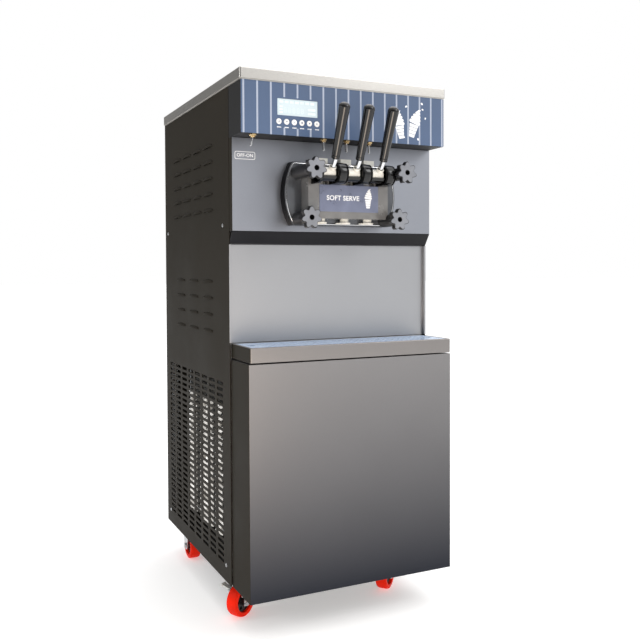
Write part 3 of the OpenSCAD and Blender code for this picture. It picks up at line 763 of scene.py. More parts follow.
class SOFTSERVE_OT_head(Operator):
    """Makes the lid, the head shell and the printed fascia"""

    bl_idname = "softserve.head"
    bl_label = "Control head"

    def execute(self, context):
        self.lid()
        sheet_copy("head_shell", CABINET, "titanium_steel", "black_powder", width=0.8 * MM)
        self.fascia()
        self.pictures()
        return {"FINISHED"}

    def lid(self):
        """A folded tray turned upside down, with soft corners."""
        low, high = corners("top_lid")
        lid = Solid().box(low, high)
        upright = [e for e in lid.bm.edges if abs(e.verts[0].co.z - e.verts[1].co.z) > 0.01]
        lid.bevel(upright, 4 * MM, 4)
        rim = [e for e in lid.bm.edges
               if min(v.co.z for v in e.verts) > high.z - 1e-5 and e.calc_face_angle(0) > 1]
        lid.bevel(rim, sizes().lid_fold, 4)
        under = [f for f in lid.bm.faces if max(v.co.z for v in f.verts) < low.z + 1e-5]
        bmesh.ops.delete(lid.bm, geom=under, context="FACES_ONLY")
        bmesh.ops.recalc_face_normals(lid.bm, faces=lid.bm.faces)
        bmesh.ops.solidify(lid.bm, geom=lid.bm.faces[:], thickness=2 * MM)
        lid.piece("top_lid_shell", "top_lid", "stainless", finish("stainless"), ("top_lid",))

    def fascia(self):
        low, high = corners("control_fascia")
        glass = pill(WINDOW[0] - GAP, WINDOW[1] + GAP, 1.5 * MM, 4)
        outlines = [pill(low.xz, high.xz, 2 * MM, 4), glass]
        for k in range(1, 7):
            key = sum(corners(f"key_{k}"), Vector()) / 2
            outlines.append(disc(6.9 * MM, key.x, key.z))
        with Solid().placed(shift(y=high.y) @ FACING_FRONT) as fascia:
            fascia.plate(outlines, high.y - low.y)
        fascia.piece("control_fascia_film", CABINET, "fascia_film", finish("film"),
                     ("control_fascia",))

    def pictures(self):
        """Two cups of soft ice and some drops, printed on the fascia."""
        front = corners("control_fascia")[0].y
        prints = Solid()
        for x, z, lean, scale in ((181, 1186, -14, 1.12), (139, 1179, 12, 1.05)):
            place = mm(x, 0, z)
            place.y = front
            with prints.placed(at(place) @ FACING_FRONT @ turn(lean, "Z")
                               @ Matrix.Scale(scale, 4)):
                cup(prints, 0.15 * MM)
        drops = ((158, 1226, 30, 2.0), (205, 1222, -30, 1.8), (213, 1201, 80, 1.7),
                 (192, 1149, -60, 2.0), (152, 1152, -20, 1.8), (203, 1236, -45, 2.2))
        for x, z, lean, r in drops:
            place = mm(x, 0, z)
            place.y = front
            with prints.placed(at(place) @ FACING_FRONT @ turn(lean, "Z")):
                prints.plate([pill((-r * 1.5 * MM, -r * MM), (r * 1.5 * MM, r * MM),
                                   r * 0.95 * MM)], 0.15 * MM)
        prints.piece("fascia_pictures", CABINET, "fascia_film", finish("print"))


def swirl(solid, thick):
    """Rolls of soft ice and a bent tip, standing on the origin."""
    rolls = ((-14, 0.2, 14, 7.4), (-12, 7.8, 12.5, 14.6), (-9, 15, 10, 21.4), (-5.4, 21.8, 7, 27.6))
    for x0, z0, x1, z1 in rolls:
        with solid.placed(turn(-6, "Z")):
            solid.plate([pill(mm(x0, z0).xy, mm(x1, z1).xy, (z1 - z0) * 0.49 * MM)], thick)
    tip = [(-1.6, 27.0), (6.6, 26.2), (7.4, 30), (9.6, 33.6), (3.4, 32.4)]
    solid.plate([in_mm(tip)], thick)


def tapered_bars(solid, thick, widths, pitch, height, top):
    """Bars under each other, from the widest down: the outline of a cup."""
    for k, (upper, lower) in enumerate(zip(widths, widths[1:])):
        y = top - k * pitch
        bar = [(-upper, y), (upper, y), (lower, y - height), (-lower, y - height)]
        solid.plate([in_mm(reversed(bar))], thick)


def cup(solid, thick):
    swirl(solid, thick)
    tapered_bars(solid, thick, (11.5, 10.2, 8.9, 7.6, 6.3), 7.4, 6.5, -1.4)


# Rows of bars on the display: count, x, z, width and height of the first, step in x and z
MARKS = ((7, -174.5, 1208, 9.6, 5.5, 12.8, 0), (3, -174.5, 1185, 8.5, 3.8, 0, 6.6),
         (2, -104, 1185, 19, 5.5, 0, 9))


class SOFTSERVE_OT_controls(Operator):
    """Makes the display, the keys, the toggle switches and their label"""

    bl_idname = "softserve.controls"
    bl_label = "Controls"

    def execute(self, context):
        self.display()
        for k in range(1, 7):
            self.key(k)
        self.captions()
        self.switches()
        self.label()
        return {"FINISHED"}

    def display(self):
        low, high = corners("display_module")
        front = low.y
        with Solid().placed(shift(y=front + 8.4 * MM) @ FACING_FRONT) as glass:
            glass.plate([pill(*WINDOW, 1.2 * MM, 4)], 8.4 * MM)
        glass.eased(0.4 * MM, 2)
        glass.piece("display_glass_block", CABINET, "display", finish("glass"),
                    ("display_module",))
        board = Solid().box((low.x, front + 8.4 * MM, low.z), (high.x, high.y, high.z), 0.4 * MM)
        board.piece("display_board", CABINET, "display", finish("board"))
        marks = Solid()
        with marks.placed(shift(y=front) @ FACING_FRONT):
            for k in range(5):
                x = -0.1600 + 0.0105 * k
                self.digit(marks, x, 1.1870)
            for count, x, z, wide, tall, step_x, step_z in MARKS:
                for k in range(count):
                    low = mm(x + k * step_x, z + k * step_z)
                    marks.plate([pill(low, low + mm(wide, tall), 1 * MM)], 0.1 * MM)
        marks.piece("display_marks", CABINET, "display", finish("mark"))

    def digit(self, marks, x, z):
        """A seven-segment figure 8."""
        w, h, t = 6.0 * MM, 5.2 * MM, 1.1 * MM
        for k in range(3):
            level = z + k * h
            marks.plate([pill((x - w / 2 + t, level - t / 2), (x + w / 2 - t, level + t / 2),
                              t * 0.45)], 0.1 * MM)
        for side in SIDES:
            for k in range(2):
                centre = x + side * (w / 2 - t / 4)
                marks.plate([pill((centre - t / 2, z + k * h + t * 0.6),
                                  (centre + t / 2, z + (k + 1) * h - t * 0.6), t * 0.45)],
                            0.1 * MM)

    def key(self, k):
        """A domed cap with a collar behind the shell and a sign on its face."""
        node = f"key_{k}"
        low, high = corners(node)
        middle = (low + high) / 2
        front = Vector((middle.x, low.y, middle.z))
        r = 6.6
        collar = 8.8
        profile = [(0, 0), (3, 0.05), (4.8, 0.25), (6, 0.7), (r, 1.5), (r, 4.9), (collar, 5.1),
                   (collar, 6.8), (r, 6.8), (r, 8.3), (0, 8.3)]
        cap = Solid().lathe(in_mm(profile), front, front + Vector((0, 1, 0)), 36)
        cap.piece(node + "_cap", node, "key_white", finish("key"), (node,))
        sign = Solid()
        with sign.placed(at(front + Vector((0, 0.35 * MM, 0))) @ FACING_FRONT):
            for outline in KEY_SIGNS[k - 1]:
                sign.plate([in_mm(outline)], 0.45 * MM)
        sign.piece(node + "_sign", node, "key_white", finish("plate"))

    def captions(self):
        """Pale dashes under the keys, where the printed names would be."""
        front = corners("control_fascia")[0].y
        prints = Solid()
        with prints.placed(shift(y=front) @ FACING_FRONT):
            for k in range(1, 7):
                key = corners(f"key_{k}")
                x = (key[0].x + key[1].x) / 2
                z = key[0].z - 5.2 * MM
                for part in range(-2, 3):
                    middle = x + part * 2.1 * MM
                    prints.plate([pill((middle - 0.8 * MM, z),
                                       (middle + 0.8 * MM, z + 2.2 * MM), 0.3 * MM, 2)],
                                 0.1 * MM)
        prints.piece("key_captions", CABINET, "fascia_film", finish("print"))

    def switches(self):
        nuts = Solid()
        bodies = Solid()
        low, high = corners("switch_bodies")
        for name in ("toggle_main", "toggle_1", "toggle_2", "toggle_3"):
            pin = pivot(name + "_tilt")
            face = Vector((pin.x, pin.y, low.z + 8 * MM))
            down = face - Vector((0, 0, 1))
            profile = [(4.4, 8), (5.0, 8), (5.5, 7.4), (5.5, -1.8), (4.4, -1.8)]
            nuts.lathe(in_mm(profile), face, down, 28, closed=True)
            for turn_no in range(3):
                nuts.ring(face - Vector((0, 0, (5.0 + turn_no) * MM)), (0, 0, 1), 5.4 * MM,
                          0.25 * MM, 28, 6)
            nut = disc(9 * MM, steps=6)
            with nuts.placed(at(face - Vector((0, 0, 4 * MM)))):
                nuts.plate([nut, disc(5.4 * MM, steps=24)], 3.4 * MM)
            bodies.box((pin.x - 7 * MM, pin.y - 5.5 * MM, low.z + 10.2 * MM),
                       (pin.x + 7 * MM, pin.y + 15.5 * MM, high.z), 1 * MM)
            self.bat(name, pin)
        nuts.piece("switch_nuts", CABINET, "brass_nut", finish("brass"))
        bodies.piece("switch_cases", CABINET, "black_gloss", finish("satin_black"),
                     ("switch_bodies",))

    def bat(self, name, pin):
        """A bat lever: ball, slender neck and a swelling, rounded end."""
        lean = turn(12 if name == "toggle_main" else 0, "Y")
        profile = [(0, 1.6), (1.6, 1.2), (2.6, 0), (2.4, -1.6), (1.7, -3.2), (1.55, -8),
                   (1.9, -14), (2.4, -19), (2.75, -23), (2.6, -24.4), (1.8, -25.0), (0, -25.2)]
        bat = Solid()
        with bat.placed(at(pin) @ lean):
            bat.lathe(in_mm(profile), (0, 0, 0), (0, 0, 1), 24)
        bat.piece(name + "_bat", name, "polished_steel", finish("chrome"), (name,))

    def label(self):
        """The frame and the words under the main switch."""
        front = corners("upper_front_panel")[0].y
        middle = mm(-234.5, 0, 1094)
        middle.y = front
        place = at(middle) @ FACING_FRONT
        frame_print = Solid()
        with frame_print.placed(place):
            outer = pill(mm(-25, -9).xy, mm(25, 9).xy, 4 * MM)
            inner = pill(mm(-23.7, -7.7).xy, mm(23.7, 7.7).xy, 3.0 * MM)
            frame_print.plate([outer, inner], 0.12 * MM)
        frame_print.piece("switch_label_frame", CABINET, "fascia_film", finish("print"))
        lettering("switch_label_words", "OFF-ON", 10.5 * MM, place, 0.1 * MM, CABINET,
                  finish("print"))


KEY_SIGNS = (
    [[(-2.2, -1.2), (2.2, -1.2), (0, 2.4)]],
    [[(-2.2, 1.2), (0, -2.4), (2.2, 1.2)]],
    [[(-2.4, -0.5), (2.4, -0.5), (2.4, 0.5), (-2.4, 0.5)]],
    [[(-1.8, -1.8), (1.8, -1.8), (1.8, 1.8), (-1.8, 1.8)]],
    [[(-1.4, -2.2), (2.4, 0), (-1.4, 2.2)]],
    [[(-2.0, -2.0), (-0.8, -2.0), (-0.8, 2.0), (-2.0, 2.0)],
     [(0.8, -2.0), (2.0, -2.0), (2.0, 2.0), (0.8, 2.0)]],
)


def cut_circle(r, flat, corner, steps=14):
    """A circle cut flat above and below at a distance from its centre, with soft corners."""
    limit = math.degrees(math.asin((flat - corner) / (r - corner)))
    points = []
    for side in (0, 180):
        for k in range(steps + 1):
            a = math.radians(side - limit + 2 * limit * k / steps)
            points.append((r * math.cos(a), r * math.sin(a)))
        sign = 1 if side == 0 else -1
        a = math.radians(limit)
        hub = Vector(((r - corner) * math.cos(a), (r - corner) * math.sin(a))) * sign
        for k in range(1, 6):
            b = math.radians(side + limit + (90 - limit) * k / 5)
            points.append((hub.x + corner * math.cos(b), hub.y + corner * math.sin(b)))
        hub.x = -hub.x
        for k in range(5):
            b = math.radians(side + 90 + (90 - limit) * k / 5)
            points.append((hub.x + corner * math.cos(b), hub.y + corner * math.sin(b)))
    return points


# The door's flange, a circle cut flat above and below, and its block, in metres
FLANGE_Z = 1.009
FLANGE_R = 0.147
FLANGE_FLAT = 0.074
BLOCK_FRONT = -0.268
BLOCK_SIDE = 0.1055
BLOCK_TOP = 1.0455
# Where each ear starts and ends along the pivot rod, in millimetres
EARS = ((-98, -90), (-53, -27), (9, 35), (71, 97))
LABEL_Z = 0.9975


class SOFTSERVE_OT_door(Operator):
    """Makes the dispensing door with its label, nozzles and plungers"""

    bl_idname = "softserve.door"
    bl_label = "Dispensing door"

    def execute(self, context):
        flange_front = corners("dispensing_door")[1].y - 26 * MM
        door = Solid.copied("dispensing_door").eased(1.1 * MM, 3, 50)

        def part(face):
            middle = face.calc_center_median()
            if face.normal.y < -0.9 and abs(middle.y - flange_front) < 1e-4:
                return 2
            in_block = BLOCK_FRONT - 2e-4 < middle.y < flange_front - 1e-4
            return int(in_block and abs(middle.x) < BLOCK_SIDE and middle.z < BLOCK_TOP)

        door.piece("door_body", CABINET, "black_gloss", finish("flange"), ("dispensing_door",), 35,
                   (finish("block"), finish("flange_face")), part)
        self.ears()
        self.bead(flange_front)
        self.hub_shade_shells()
        self.label(BLOCK_FRONT)
        self.rod()
        self.nozzles()
        self.plungers()
        return {"FINISHED"}

    def bead(self, front):
        """A bright bead round the flange's face."""
        inset = 3.5 * MM
        path = [Vector((x, front, FLANGE_Z + z)) for x, z in cut_circle(
            FLANGE_R - inset, FLANGE_FLAT - inset, 10 * MM)]
        bead = Solid().tube(path, 1.3 * MM, closed=True, sides=8)
        bead.piece("door_bead", CABINET, "polished_steel", finish("chrome"))

    def ears(self):
        """Crowned gloss shells over the four ears that hold the pivot rod."""
        pin = pivot("lever_middle_pull")
        shells = Solid()
        for low, high in EARS:
            wide = high - low
            crown = [(24.2 - 3.2 * (2 * k / 8 - 1) ** 4, wide * k / 8) for k in range(9)]
            profile = [(9, 0), *crown, (9, wide)]
            start = Vector((low * MM, pin.y, pin.z))
            shells.lathe(in_mm(profile), start, start + mm(1, 0, 0), 48, closed=True)
        shells.piece("door_ears", CABINET, "black_gloss", finish("black"))

    def hub_shade_shells(self):
        """Black quarter shells between the ears, under the levers' hubs: painted shade, covering
        the lower half of each white hub where it lies in shade.
        """
        shells = Solid()
        for name in LEVERS:
            pin = pivot(f"lever_{name}_pull")
            rim = [(19, a) for a in range(207, 270, 9)] + [(15.2, a) for a in range(270, 206, -9)]
            section = [(r * MM * math.cos(math.radians(a)), r * MM * math.sin(math.radians(a)))
                       for r, a in rim]
            place = at((pin.x - 28 * MM, pin.y, pin.z)) @ YZ_PLANE
            with shells.placed(place):
                shells.plate([section], 37.5 * MM)
        shells.piece("door_hub_shade_shells", CABINET, "black_gloss", finish("black"))

    def label(self, front):
        plate = Solid()
        with plate.placed(shift(y=front) @ FACING_FRONT):
            plate.plate([pill((-0.077, 0.966), (0.078, 1.028), 2.5 * MM)], 0.8 * MM)
        plate.eased(0.25 * MM, 2)
        plate.piece("door_label", CABINET, "machine_grey", finish("plate"))
        face = front - 0.8 * MM
        words = shift(-0.016, face, LABEL_Z) @ FACING_FRONT
        lettering("door_label_words", "SOFT SERVE", 15.5 * MM, words, 0.2 * MM, CABINET,
                  finish("print"))
        emblem = Solid()
        with emblem.placed(shift(0.0505, face, LABEL_Z) @ FACING_FRONT @ Matrix.Scale(0.72, 4)):
            cup(emblem, 0.25 * MM)
        emblem.piece("door_label_emblem", CABINET, "white_plastic", finish("print"))

    def rod(self):
        low, high = corners("pivot_rod")
        y = (low.y + high.y) / 2
        z = (low.z + high.z) / 2
        rod = Solid().drum((low.x, y, z), (high.x, y, z), 5 * MM, segments=32, width=1 * MM)
        for side, end in ((-1, low.x), (1, high.x)):
            rod.ring((end - side * 1.6 * MM, y, z), (1, 0, 0), 5 * MM, 0.5 * MM, 32, 8)
        rod.piece("pivot_rod_bar", CABINET, "polished_steel", finish("chrome"), ("pivot_rod",))

    def nozzles(self):
        """Spout discs with a star opening, a neck and a finger tab."""
        bottom = corners("nozzles")[0].z
        spouts = Solid()
        opening = [(r * math.cos(math.tau * k / 12), r * math.sin(math.tau * k / 12))
                   for k, r in enumerate([6.6 * MM, 3.6 * MM] * 6)]
        for name in LEVERS:
            x = pivot(f"lever_{name}_pull").x
            y = corners("nozzles")[0].y + 14.5 * MM
            place = at((x, y, bottom))
            with spouts.placed(place):
                spouts.plate([disc(14 * MM), opening], 1.5 * MM)
                profile = [(6.8, 1.5), (14, 1.5), (14.5, 2), (14.5, 4), (13.9, 4.5),
                           (10, 4.7), (10, 11.7), (6.8, 11.7)]
                spouts.lathe(in_mm(profile), (0, 0, 0), (0, 0, 1), 36, closed=True)
                spouts.box(mm(-22, -4, 1), mm(-12, 4, 3.5), 0.9 * MM, 3)
        spouts.piece("spout_nozzles", CABINET, "white_plastic", finish("white"), ("nozzles",))

    def plungers(self):
        for name in LEVERS:
            node = f"plunger_{name}"
            Solid.copied(node).eased(0.9 * MM, 3, 50).piece(
                node + "_shaft", node, "white_plastic", finish("white"), (node,), 35)
            low, high = corners(node)
            x = (low.x + high.x) / 2
            y = corners("nozzles")[0].y + 14.5 * MM
            rings = Solid()
            for height in (5.5, 36.5):
                rings.ring((x, y, low.z + height * MM), (0, 0, 1), 10.6 * MM, 1.35 * MM, 36, 8)
            rings.piece(node + "_o_rings", node, "hub_black", finish("rubber"))


class SOFTSERVE_OT_levers(Operator):
    """Makes the three draw levers"""

    bl_idname = "softserve.levers"
    bl_label = "Levers"

    def execute(self, context):
        for name in LEVERS:
            self.lever(name)
        return {"FINISHED"}

    def lever(self, name):
        node = f"lever_{name}"
        pin = pivot(node + "_pull")
        foot = pin + mm(-2, -27, 30)
        head = pin + mm(-3, -75, 137)
        reach = (head - foot).length
        profile = [(0, -1), (7.5, -1), (9.2, 0), (9.6, 1.5), (9.6, 6), (9.1, 7), (9.6, 8)]
        profile += [(9.6 + 3.4 * k / 6, 8 + (reach / MM - 8) * k / 6) for k in range(1, 7)]
        crown = [(13 * math.cos(math.radians(a)), reach / MM + 10 * math.sin(math.radians(a)))
                 for a in range(12, 91, 13)]
        profile += crown
        grip = Solid().lathe(in_mm(profile), foot, head, 36)
        grip.piece(node + "_grip", node, "black_gloss", finish("black"), (node,))
        self.stem(node, pin, foot)
        self.hub(node, pin)

    def stem(self, node, pin, foot):
        """The steel arm from the hub to the grip, and the finger in the plunger."""
        arm = foot - pin
        stem = Solid()
        with stem.placed(along(pin, foot) @ turn(90, "Z")):
            reach = arm.length
            stem.box((-5.5 * MM, -4 * MM, 8 * MM), (5.5 * MM, 4 * MM, reach + 4 * MM), 1.2 * MM, 3)
        tip = pin + Vector((0, math.cos(math.radians(18)), -math.sin(math.radians(18)))) * 55 * MM
        with stem.placed(along(pin, tip) @ turn(90, "Z")):
            stem.box(mm(-4, -3, 9), mm(4, 3, 55), 0.8 * MM, 2)
        stem.drum(tip - mm(5, 0, 0), tip + mm(5, 0, 0), 5 * MM, segments=24, width=0.6 * MM)
        stem.piece(node + "_stem", node, "polished_steel", finish("chrome"))

    def hub(self, node, pin):
        """A white bushing turned to run on the pivot rod, with a boss where the arm enters."""
        start = pin + mm(-24, 0, 0)
        profile = [(5.2, 0), (13, 0), (14, 1), (14, 5.5), (13.2, 6.5), (13.2, 24.5), (14, 25.5),
                   (14, 30), (13, 31), (5.2, 31)]
        hub = Solid().lathe(in_mm(profile), start, start + mm(1, 0, 0), 44, closed=True)
        with hub.placed(along(pin, pin + mm(-2, -27, 30))):
            boss = [(7.4, 9), (8.6, 9), (8.6, 18), (8, 18.8), (7.4, 18.2)]
            hub.lathe(in_mm(boss), (0, 0, 0), (0, 0, 1), 28, closed=True)
        hub.piece(node + "_hub", node, "white_plastic", finish("white"))


def star(reach, depth, lobes, steps=14):
    """A star outline with soft lobes, one of them upwards."""
    points = []
    for k in range(lobes * steps):
        a = math.tau * k / (lobes * steps)
        here = reach - depth * (0.5 - 0.5 * math.cos(lobes * a)) ** 1.15
        points.append((here * math.sin(-a), here * math.cos(a)))
    return points


class SOFTSERVE_OT_knobs(Operator):
    """Makes the four star knobs that hold the door"""

    bl_idname = "softserve.knobs"
    bl_label = "Star knobs"

    def execute(self, context):
        for name in KNOBS:
            self.knob(name)
        return {"FINISHED"}

    def knob(self, name):
        node = f"knob_{name}"
        low, high = corners(node)
        centre = pivot(node + "_turn")
        centre.y = low.y
        lobes = sizes().knob_lobes
        body = Solid()
        with body.placed(at(centre + mm(0, 14, 0)) @ FACING_FRONT):
            body.plate([star(26 * MM, 7.6 * MM, lobes), disc(6 * MM)], 12.6 * MM)
        rims = [e for e in body.bm.edges if len(e.link_faces) == 2
                and e.calc_face_angle(0) > math.radians(60)]
        body.bevel(rims, 1.6 * MM, 3)
        back = centre + mm(0, high.y / MM - low.y / MM, 0)
        sleeve = [(5.1 * MM, 20 * MM), (5.8 * MM, 9 * MM), (5.8 * MM, 6 * MM), (16.5 * MM, 12 * MM),
                  (15.6 * MM, 15 * MM), (15 * MM, 17 * MM)]
        length_back = back.y - centre.y
        sleeve += [(15 * MM, length_back - 1 * MM), (14 * MM, length_back), (5.1 * MM, length_back)]
        body.lathe(sleeve, centre, centre + mm(0, 1, 0), 36, closed=True)
        body.piece(node + "_grip", node, "black_gloss", finish("satin_black"), (node,), 40)
        plate = Solid()
        with plate.placed(at(centre + mm(0, 1.9, 0)) @ FACING_FRONT):
            plate.plate([star(24 * MM, 7.2 * MM, lobes), disc(6.2 * MM)], 1.9 * MM)
        rims = [e for e in plate.bm.edges if len(e.link_faces) == 2
                and e.calc_face_angle(0) > math.radians(60)
                and max(v.co.y for v in e.verts) < centre.y + 1e-4]
        plate.bevel(rims, 0.9 * MM, 3)
        plate.piece(node + "_face", node, "knob_grey", finish("knob"), (), 40)


class SOFTSERVE_OT_tray(Operator):
    """Makes the drip tray and its perforated grille"""

    bl_idname = "softserve.tray"
    bl_label = "Drip tray"

    def execute(self, context):
        low, high = corners("drip_tray")
        tray = Solid.copied("drip_tray")

        def outer(edge):
            middle = (edge.verts[0].co + edge.verts[1].co) / 2
            return middle.y < low.y + 1 * MM or abs(middle.x) > high.x - 1 * MM

        tray.eased(2 * MM, 3, 30, outer)
        tray.eased(0.5 * MM, 2, 60)
        # Painted shade: the pan's sideways faces, the same steel as its front, get the dark
        # charcoal finish.
        tray.piece("drip_tray_pan", "drip_tray", "titanium_steel", finish("tray"),
                   ("drip_tray",), 40, (finish("charcoal"),),
                   lambda face: int(abs(face.normal.x) > 0.7))
        self.grille()
        return {"FINISHED"}

    def grille(self):
        low, high = corners("drip_grille")
        middle = (low + high) / 2
        half = mm(5, 4).xy
        outlines = [pill(low.xy, high.xy, 2 * MM, 3)]
        for x, y in field((0, middle.y / MM), (15, 20), (29, 5)):
            centre = mm(x, y).xy
            outlines.append(pill(centre - half, centre + half, 2.6 * MM, 3))
        for side in SIDES:
            outlines.append(disc(10 * MM, side * 236 * MM, middle.y, 28))
        plate = Solid()
        with plate.placed(shift(z=low.z)):
            plate.plate(outlines, high.z - low.z)
        plate.piece("drip_grille_plate", "drip_grille", "grille_steel", finish("grille"),
                    ("drip_grille",))


class SOFTSERVE_OT_casters(Operator):
    """Makes the casters: forks, wheels and brake pedals"""

    bl_idname = "softserve.casters"
    bl_label = "Casters"

    def execute(self, context):
        self.pressing("caster_plates", CABINET, "_zinc", "zinc", 0.5 * MM)
        for side in ("left", "right"):
            fork = f"fork_front_{side}"
            self.pressing(fork, fork, "_zinc", "zinc", 0.5 * MM)
            pedal = f"brake_pedal_{side}"
            self.pressing(pedal, pedal, "_tread", "pedal", 0.6 * MM)
            for end in ("front", "rear"):
                self.wheel(f"wheel_{end}_{side}")
        return {"FINISHED"}

    def pressing(self, node, body, ending, look, width):
        """The CAD shape with its edges eased."""
        Solid.copied(node).eased(width, 2, 40).piece(
            node + ending, body, "zinc_steel", finish(look), (node,), 35)

    def wheel(self, node):
        joint = JOINTS[node + "_roll"]
        centre = Vector(joint["pos_m"])
        axis = Vector(joint["axis"]).normalized()
        place = along(centre, centre + axis)
        tread = [(25.6, -11.5), (26.6, -14.4), (28.5, -15), (33, -15), (36, -13.6), (37.3, -10),
                 (37.5, -5), (37.5, 5), (37.3, 10), (36, 13.6), (33, 15), (28.5, 15),
                 (26.6, 14.4), (25.6, 11.5)]
        rubber = Solid()
        with rubber.placed(place):
            rubber.lathe(in_mm(tread), (0, 0, 0), (0, 0, 1), 64, closed=True)
        rubber.piece(node + "_tread", node, "red_tread", finish("red"), (node,))
        hub = Solid()
        with hub.placed(place @ shift(z=-8 * MM)):
            holes = [disc(4.2 * MM, 17.5 * MM * math.cos(math.tau * k / 6),
                          17.5 * MM * math.sin(math.tau * k / 6), 16) for k in range(6)]
            hub.plate([disc(25.8 * MM, steps=64), disc(4.3 * MM, steps=24)] + holes, 16 * MM)
        with hub.placed(place):
            for sign in SIDES:
                profile = [(4.2, sign * 6), (11, sign * 6), (10, sign * 12), (9, sign * 15.9),
                           (4.2, sign * 15.9)]
                hub.lathe(in_mm(profile), (0, 0, 0), (0, 0, 1), 32, closed=True)
        hub.piece(node + "_hub", node, "hub_black", finish("satin_black"))


class SOFTSERVE_OT_fasteners(Operator):
    """Makes the screws of the side panels"""

    bl_idname = "softserve.fasteners"
    bl_label = "Screws"

    def execute(self, context):
        screws = Solid()
        reach = corners("screws")[1].x
        for side in SIDES:
            for y, z in ((-135, 936), (362, 936), (-146, 131), (354, 129)):
                start = Vector((side * (reach - 6.8 * MM), y * MM, z * MM))
                with screws.placed(along(start, start + mm(side, 0, 0))):
                    screws.drum((0, 0, 0), mm(0, 0, 5), 2 * MM, segments=16)
                    head = [(0, 4.8), (4.5, 4.8), (4.5, 5.4), (3.9, 6.2), (2.9, 6.45), (0, 6.0)]
                    screws.lathe(in_mm(head), (0, 0, 0), (0, 0, 1), 28)
                with screws.placed(along(start, start + mm(side, 0, 0)) @ shift(z=5.9 * MM)):
                    screws.plate([disc(3.4 * MM, steps=28), cross(2.3 * MM, 0.55 * MM)], 0.85 * MM)
        screws.piece("panel_screws", CABINET, "zinc_steel", finish("zinc"), ("screws",))
        return {"FINISHED"}


def cross(arm, half):
    """The outline of a cross recess."""
    quarter = [(arm, -half), (arm, half), (half, half)]
    points = []
    for k in range(4):
        c, s = round(math.cos(k * math.pi / 2)), round(math.sin(k * math.pi / 2))
        points += [(x * c - y * s, x * s + y * c) for x, y in quarter]
    return points


# The bends' bundles as the slots show them, back and front y in millimetres, and their heights
BUNDLES = ((196, 84), (44, -56), (-84, -128))
BUNDLE_Z = (0.184, 0.501)
# Distance back for each unit of depth behind a slot
SLANT = 3.4
# CAD nodes that stay as they are and get only a finish
WORKS_FINISHES = (
    ("black_powder", ("base_pan",)),
    ("galvanised", ("inner_frame", "condenser")),
    ("stainless", ("top_deck",)),
    ("hopper", ("hoppers", "freezing_cylinders")),
    ("white", ("beater_left", "beater_right")),
    ("dark_metal", ("gear_motors",)),
    ("satin_black", ("compressor",)),
    ("fins", ("fan_rotor",)),
    ("copper", ("copper_lines",)),
    ("grey_powder", ("electrical_box",)),
    ("zinc", ("door_studs",)),
)


class SOFTSERVE_OT_works(Operator):
    """Finishes the works behind the panels and makes the condenser's fins and bends"""

    bl_idname = "softserve.works"
    bl_label = "Works"

    def execute(self, context):
        for name, nodes in WORKS_FINISHES:
            for node in nodes:
                mesh = NODES[node].data
                mesh.materials.clear()
                mesh.materials.append(finish(name))
        self.coil()
        return {"FINISHED"}

    def coil(self):
        """Close fins, and the return bends, bright with a painted glow, that show through the side
        grille.

        A slot is looked through at a slant, so the bends stand further back than the slots.
        """
        low, high = corners("condenser")
        top = high.z - 5 * MM
        bottom = low.z + 5 * MM
        front = low.x - 1 * MM
        pitch = sizes().fin_pitch
        fins = Solid()
        count = int((high.y - low.y - 16 * MM) / pitch)
        for k in range(count + 1):
            y = low.y + 8 * MM + k * pitch
            fins.box((front, y, bottom), (front + 11 * MM, y + 0.4 * MM, top))
        fins.piece("condenser_fins", CABINET, "fin_aluminium", finish("fins"))
        bends = Solid()
        sight = SLANT * (front - corners("left_side_panel")[1].x)
        for back, ahead in BUNDLES:
            columns = round((back - ahead) / 27)
            for column in range(columns):
                y = (back - (column + 0.5) * (back - ahead) / columns) * MM + sight
                if low.y + 6 * MM < y < high.y - 6 * MM:
                    self.bends(bends, Vector((front, y, BUNDLE_Z[0])), BUNDLE_Z[1], column % 2)
        bends.piece("condenser_bends", CABINET, "fin_aluminium", finish("bends"))

    def bends(self, solid, start, top, phase):
        """One column of return bends, leaning left and right in turn."""
        step = 14.4 * MM
        for row in range(int((top - start.z) / step)):
            lean = 9 * MM * (1 if (row + phase) % 2 else -1)
            foot = start + Vector((0, -lean / 2, row * step))
            end = foot + Vector((0, lean, step * 0.75))
            path = [foot.lerp(end, 0.5 - 0.5 * math.cos(math.radians(a)))
                    + mm(-7, 0, 0) * math.sin(math.radians(a)) for a in range(0, 181, 36)]
            solid.tube(path, 3.9 * MM, sides=8)


# ------------------------------------------------------ stage and camera


